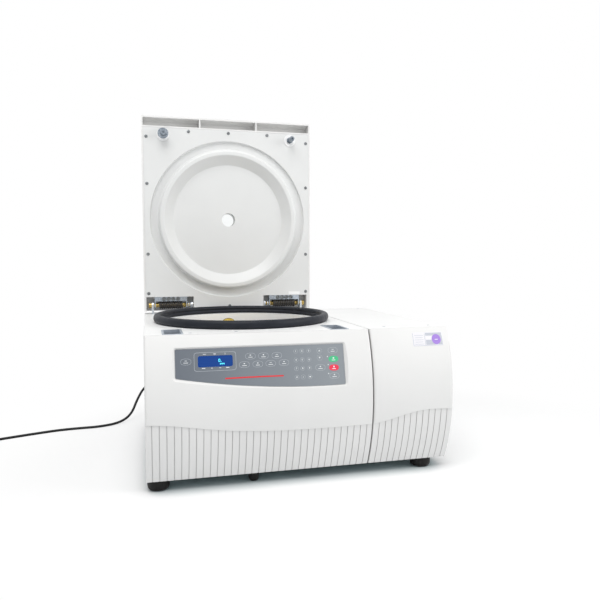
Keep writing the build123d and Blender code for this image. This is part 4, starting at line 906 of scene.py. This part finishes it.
def numeral_pad():
    """All numerals as one mesh: three rows of three and the first key of the last row."""
    places = [(u, v) for v in pad_rows[:3] for u in pad_columns] + [(pad_columns[0], pad_rows[3])]
    points, faces, start = [], [], 0
    for text, spot in zip("1234567890", places):
        spots, triangles = digit(text, spot, 6.0, on_panel)
        points.append(spots)
        faces.append(triangles + start)
        start += len(spots)
    mesh = bpy.data.meshes.new("pad_numerals")
    mesh.from_pydata((np.vstack(points) * mm).tolist(), [], np.vstack(faces).tolist())
    mesh.materials.append(white_ink)
    thing = bpy.data.objects.new("pad_numerals", mesh)
    bpy.context.scene.collection.objects.link(thing)
    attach(thing, "base")


numeral_pad()
pad_marks = [patch(oval(2, 2, 2, 16), (pad_columns[1], pad_rows[3]), on_panel),
             patch(oval(4.2, 3, 2.4, 20), (pad_columns[2], pad_rows[3]), on_panel)]
piece("pad_marks", pad_marks, "base", white_ink, smooth=False)
large_u, start_v, stop_v = 440.5, 12.5, -8.1
for name, v, finish in (("start_key", start_v, start_green), ("stop_key", stop_v, stop_red)):
    piece(name, [patch(oval(24, 14.5), (large_u, v), on_panel, ink_low, ink_high + 0.05)],
          "base", finish, smooth=False)
key_bars = [patch(shape, (large_u, v + rise), on_panel, ink_low, ink_high + 0.1)
            for shape, rise in ((bar(8.5, 1.6), -2.6), (oval(3.6, 3.6, 6, 16), 2.2))
            for v in (start_v, stop_v)]
piece("start_stop_marks", key_bars, "base", white_ink, smooth=False)


def red_rule():
    """A thin red rule that rises a little in its middle: v = v0 + 0.5 (1 - t^2), as a closed band."""
    t = np.linspace(-1, 1, 40)
    u = 247.85 + 68.4 * t
    lower = np.stack((u, -23.2 + 0.5 * (1 - t ** 2)), axis=-1)
    upper = lower + np.array((0, 3.1))
    loop = np.vstack((lower, upper[::-1]))
    middle = np.vstack(((lower + upper) / 2, ((lower + upper) / 2)[::-1]))
    rows = (on_panel(middle, ink_low), on_panel(loop, ink_low), on_panel(loop, ink_high),
            on_panel(middle, ink_high))
    return woven(np.stack(rows), round_columns=True)


piece("red_rule", [red_rule()], "base", red_ink, smooth=False)

lit = (on_panel, -2.45, -2.25)
lit_marks = [outline_ring(oval(4.4, 7.0, 5, 32), (167.5, 20.6), 1.2, *lit),
             patch(bar(1.5, 1.5), (171.6, 17.8), *lit)]
lit_marks += [patch(bar(1.5, 3.6 - k % 2 * 0.9), (169.4 + 2.2 * k, 12.6 + 0.5 * (k % 2)), *lit)
              for k in range(5)]
piece("display_figures", lit_marks, "base", lit_cyan, smooth=False)


# ---------------------------------------------------------------- service label on the right moulding
def service_label():
    """A stuck label that follows the arch, with a frame, lines and a violet disc."""
    printed_high = 0.2
    frame = (((1.2, 30), (276, 337)), ((80, 1.0), (316, 321.5)), ((1.2, 28), (308, 336)),
             ((44, 7), (332, 348.5)), ((12, 22), (349, 334)), ((30, 12), (325, 329)))
    lines = [patch(bar(*size), spot, on_arch, 0, printed_high) for size, spot in frame]
    lines += [patch(bar(24 - 3 * (k % 2), 0.9), (292, 346 - 5.2 * k), on_arch, 0, printed_high)
              for k in range(5)]
    layers = (
        ("service_label", [patch(bar(82, 33), (315, 337), on_arch, -0.3, 0.12)], label_paper),
        ("service_label_lines", lines, label_grey),
        ("service_label_disc", [patch(oval(24.5, 24.5, 2, 40), (338.5, 336), on_arch, 0, 0.3)], label_violet),
        ("service_label_mark", [patch(bar(8, 1.8), (338.5, 335.5), on_arch, 0.2, 0.4)], label_paper),
    )
    for name, shapes, finish in layers:
        piece(name, shapes, "base", finish, smooth=False)


service_label()


# ---------------------------------------------------------------- deck
def sunk_screw(x, y):
    """A countersunk screw flush with the deck: a low ring, a bevel and a hex socket."""
    profile = [(0, -0.1), (4.2, -0.1), (4.2, 0.25), (3.7, 0.4), (1.9, 0.4), (1.8, 0.1), (0, 0.1)]
    return turned(profile, (x, y, deck_z), 24, "z", (6, [4, 5]))


deck_screws = [(-269.4, -253.3), (-160.7, -249.9), (219.9, -242.3), (345.0, -239.3)]
deck_screws += [(-345.0, 300.0), (130.0, 300.0), (195.0, 300.0), (345.0, 300.0)]
piece("deck_screws", [sunk_screw(x, y) for x, y in deck_screws],
      "base", bright_zinc, smooth=False)


# ---------------------------------------------------------------- feet
def foot_piece(x, y, widest):
    """A rubber puck: its side rises from the sole as a quarter ellipse and draws in again at the top."""
    tall = 27
    t = np.linspace(0, 1, 17)
    swell = 0.68 + 0.32 * np.sqrt(1 - (1 - np.minimum(t / 0.45, 1)) ** 2)
    neck = 0.1 * np.clip((t - 0.8) / 0.2, 0, 1) ** 2
    sides = np.stack((widest * (swell - neck), tall * t), axis=-1)
    return turned(np.vstack(((0, 0), sides, (0, tall))), (x, y, 0), 48)


feet = [foot_piece(-121, -253, 12.5)] + [foot_piece(x, y, 26) for x in (-347, 320) for y in (-253, 285)]
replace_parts(piece("rubber_feet", feet, "base", foot_black), "feet")


# ---------------------------------------------------------------- floor and lights
def bench():
    """A wide pale bench top: it keeps the lamps' shadow by the machine, deepened and tinted blue-grey by
    painted shadow for camera rays, and fades to white away from it.
    """
    mesh = bpy.data.meshes.new("bench_top")
    mesh.from_pydata([(-9, -5, 0), (9, -5, 0), (9, 13, 0), (-9, 13, 0)], [], [(0, 1, 2, 3)])
    top = bpy.data.objects.new("bench_top", mesh)
    bpy.context.scene.collection.objects.link(top)
    made = Finish("bench_white", roughness=0.7)
    path = made.node("ShaderNodeLightPath")
    tone = made.node("ShaderNodeMix", data_type="RGBA")
    made.link(path.outputs["Is Camera Ray"], tone.inputs["Factor"])
    made.link(made.ramp(made.noise(2, 3), (0.80, 0.81, 0.82), (0.83, 0.84, 0.85)), tone.inputs["A"])
    # painted shadow: for camera rays the floor darkens to blue-grey where the machine is within 0.1 m
    near = made.node("ShaderNodeAmbientOcclusion", Distance=0.1)
    shade = made.ramp(near.outputs["AO"], (0.36, 0.48, 0.5), (1, 1, 1), 0.1, 0.62)
    made.link(shade, tone.inputs["B"])
    made.link(tone.outputs["Result"], made.shader.inputs["Base Color"])
    made.relief(made.noise(300, 3), 0.05, 0.0002)
    reach = made.node("ShaderNodeVectorMath", operation="LENGTH")
    made.link(made.stretched((1, 1, 1), shift=(-0.2, 0.2, 0)), reach.inputs[0])
    fade = made.node("ShaderNodeMapRange", interpolation_type="SMOOTHSTEP")
    fade.inputs["From Min"].default_value = 0.5
    fade.inputs["From Max"].default_value = 1.1
    made.link(reach.outputs["Value"], fade.inputs["Value"])
    seen = made.node("ShaderNodeMath", operation="MULTIPLY")
    made.link(path.outputs["Is Camera Ray"], seen.inputs[0])
    made.link(fade.outputs["Result"], seen.inputs[1])
    glow = made.node("ShaderNodeEmission", Color=(1, 1, 1, 1), Strength=1.0)
    both = made.node("ShaderNodeMixShader")
    made.link(seen.outputs["Value"], both.inputs[0])
    made.link(made.shader.outputs[0], both.inputs[1])
    made.link(glow.outputs[0], both.inputs[2])
    made.link(both.outputs[0], made.tree.nodes["Material Output"].inputs["Surface"])
    mesh.materials.append(made.material)


def studio():
    """White surroundings for the camera and for reflections, a softer fill for everything else."""
    world = bpy.data.worlds.new("studio")
    bpy.context.scene.world = world
    world.use_nodes = True
    tree = world.node_tree
    back = tree.nodes["Background"]
    path = tree.nodes.new("ShaderNodeLightPath")
    seen = path.outputs["Is Camera Ray"]
    for kind in ("Is Glossy Ray", "Is Transmission Ray"):
        either = tree.nodes.new("ShaderNodeMath")
        either.operation = "MAXIMUM"
        tree.links.new(seen, either.inputs[0])
        tree.links.new(path.outputs[kind], either.inputs[1])
        seen = either.outputs[0]
    blend = tree.nodes.new("ShaderNodeMix")
    blend.data_type = "RGBA"
    for socket, colour in (("A", (0.54, 0.545, 0.545, 1)), ("B", (1, 1, 1, 1))):
        blend.inputs[socket].default_value = colour
    tree.links.new(seen, blend.inputs["Factor"])
    tree.links.new(blend.outputs["Result"], back.inputs["Color"])
    back.inputs["Strength"].default_value = 1.0


def softbox(name, spot, aim, size, watts):
    """A square area lamp that faces its aim."""
    lamp = bpy.data.lights.new(name, "AREA")
    lamp.shape = "SQUARE"
    lamp.size = size
    lamp.energy = watts
    holder = bpy.data.objects.new(name, lamp)
    bpy.context.scene.collection.objects.link(holder)
    away = np.array(spot, float) - np.array(aim, float)
    flat = math.hypot(away[0], away[1])
    holder.location = spot
    holder.rotation_euler = (math.atan2(flat, away[2]), 0, math.atan2(away[0], -away[1]))


bench()
studio()
softbox("key_softbox", (-0.6, -1.1, 2.6), (-0.05, 0.0, 0.35), 1.6, 34)
softbox("right_softbox", (2.2, -1.4, 1.3), (0.1, 0.0, 0.4), 1.4, 23)
bpy.context.scene.view_settings.view_transform = "Standard"
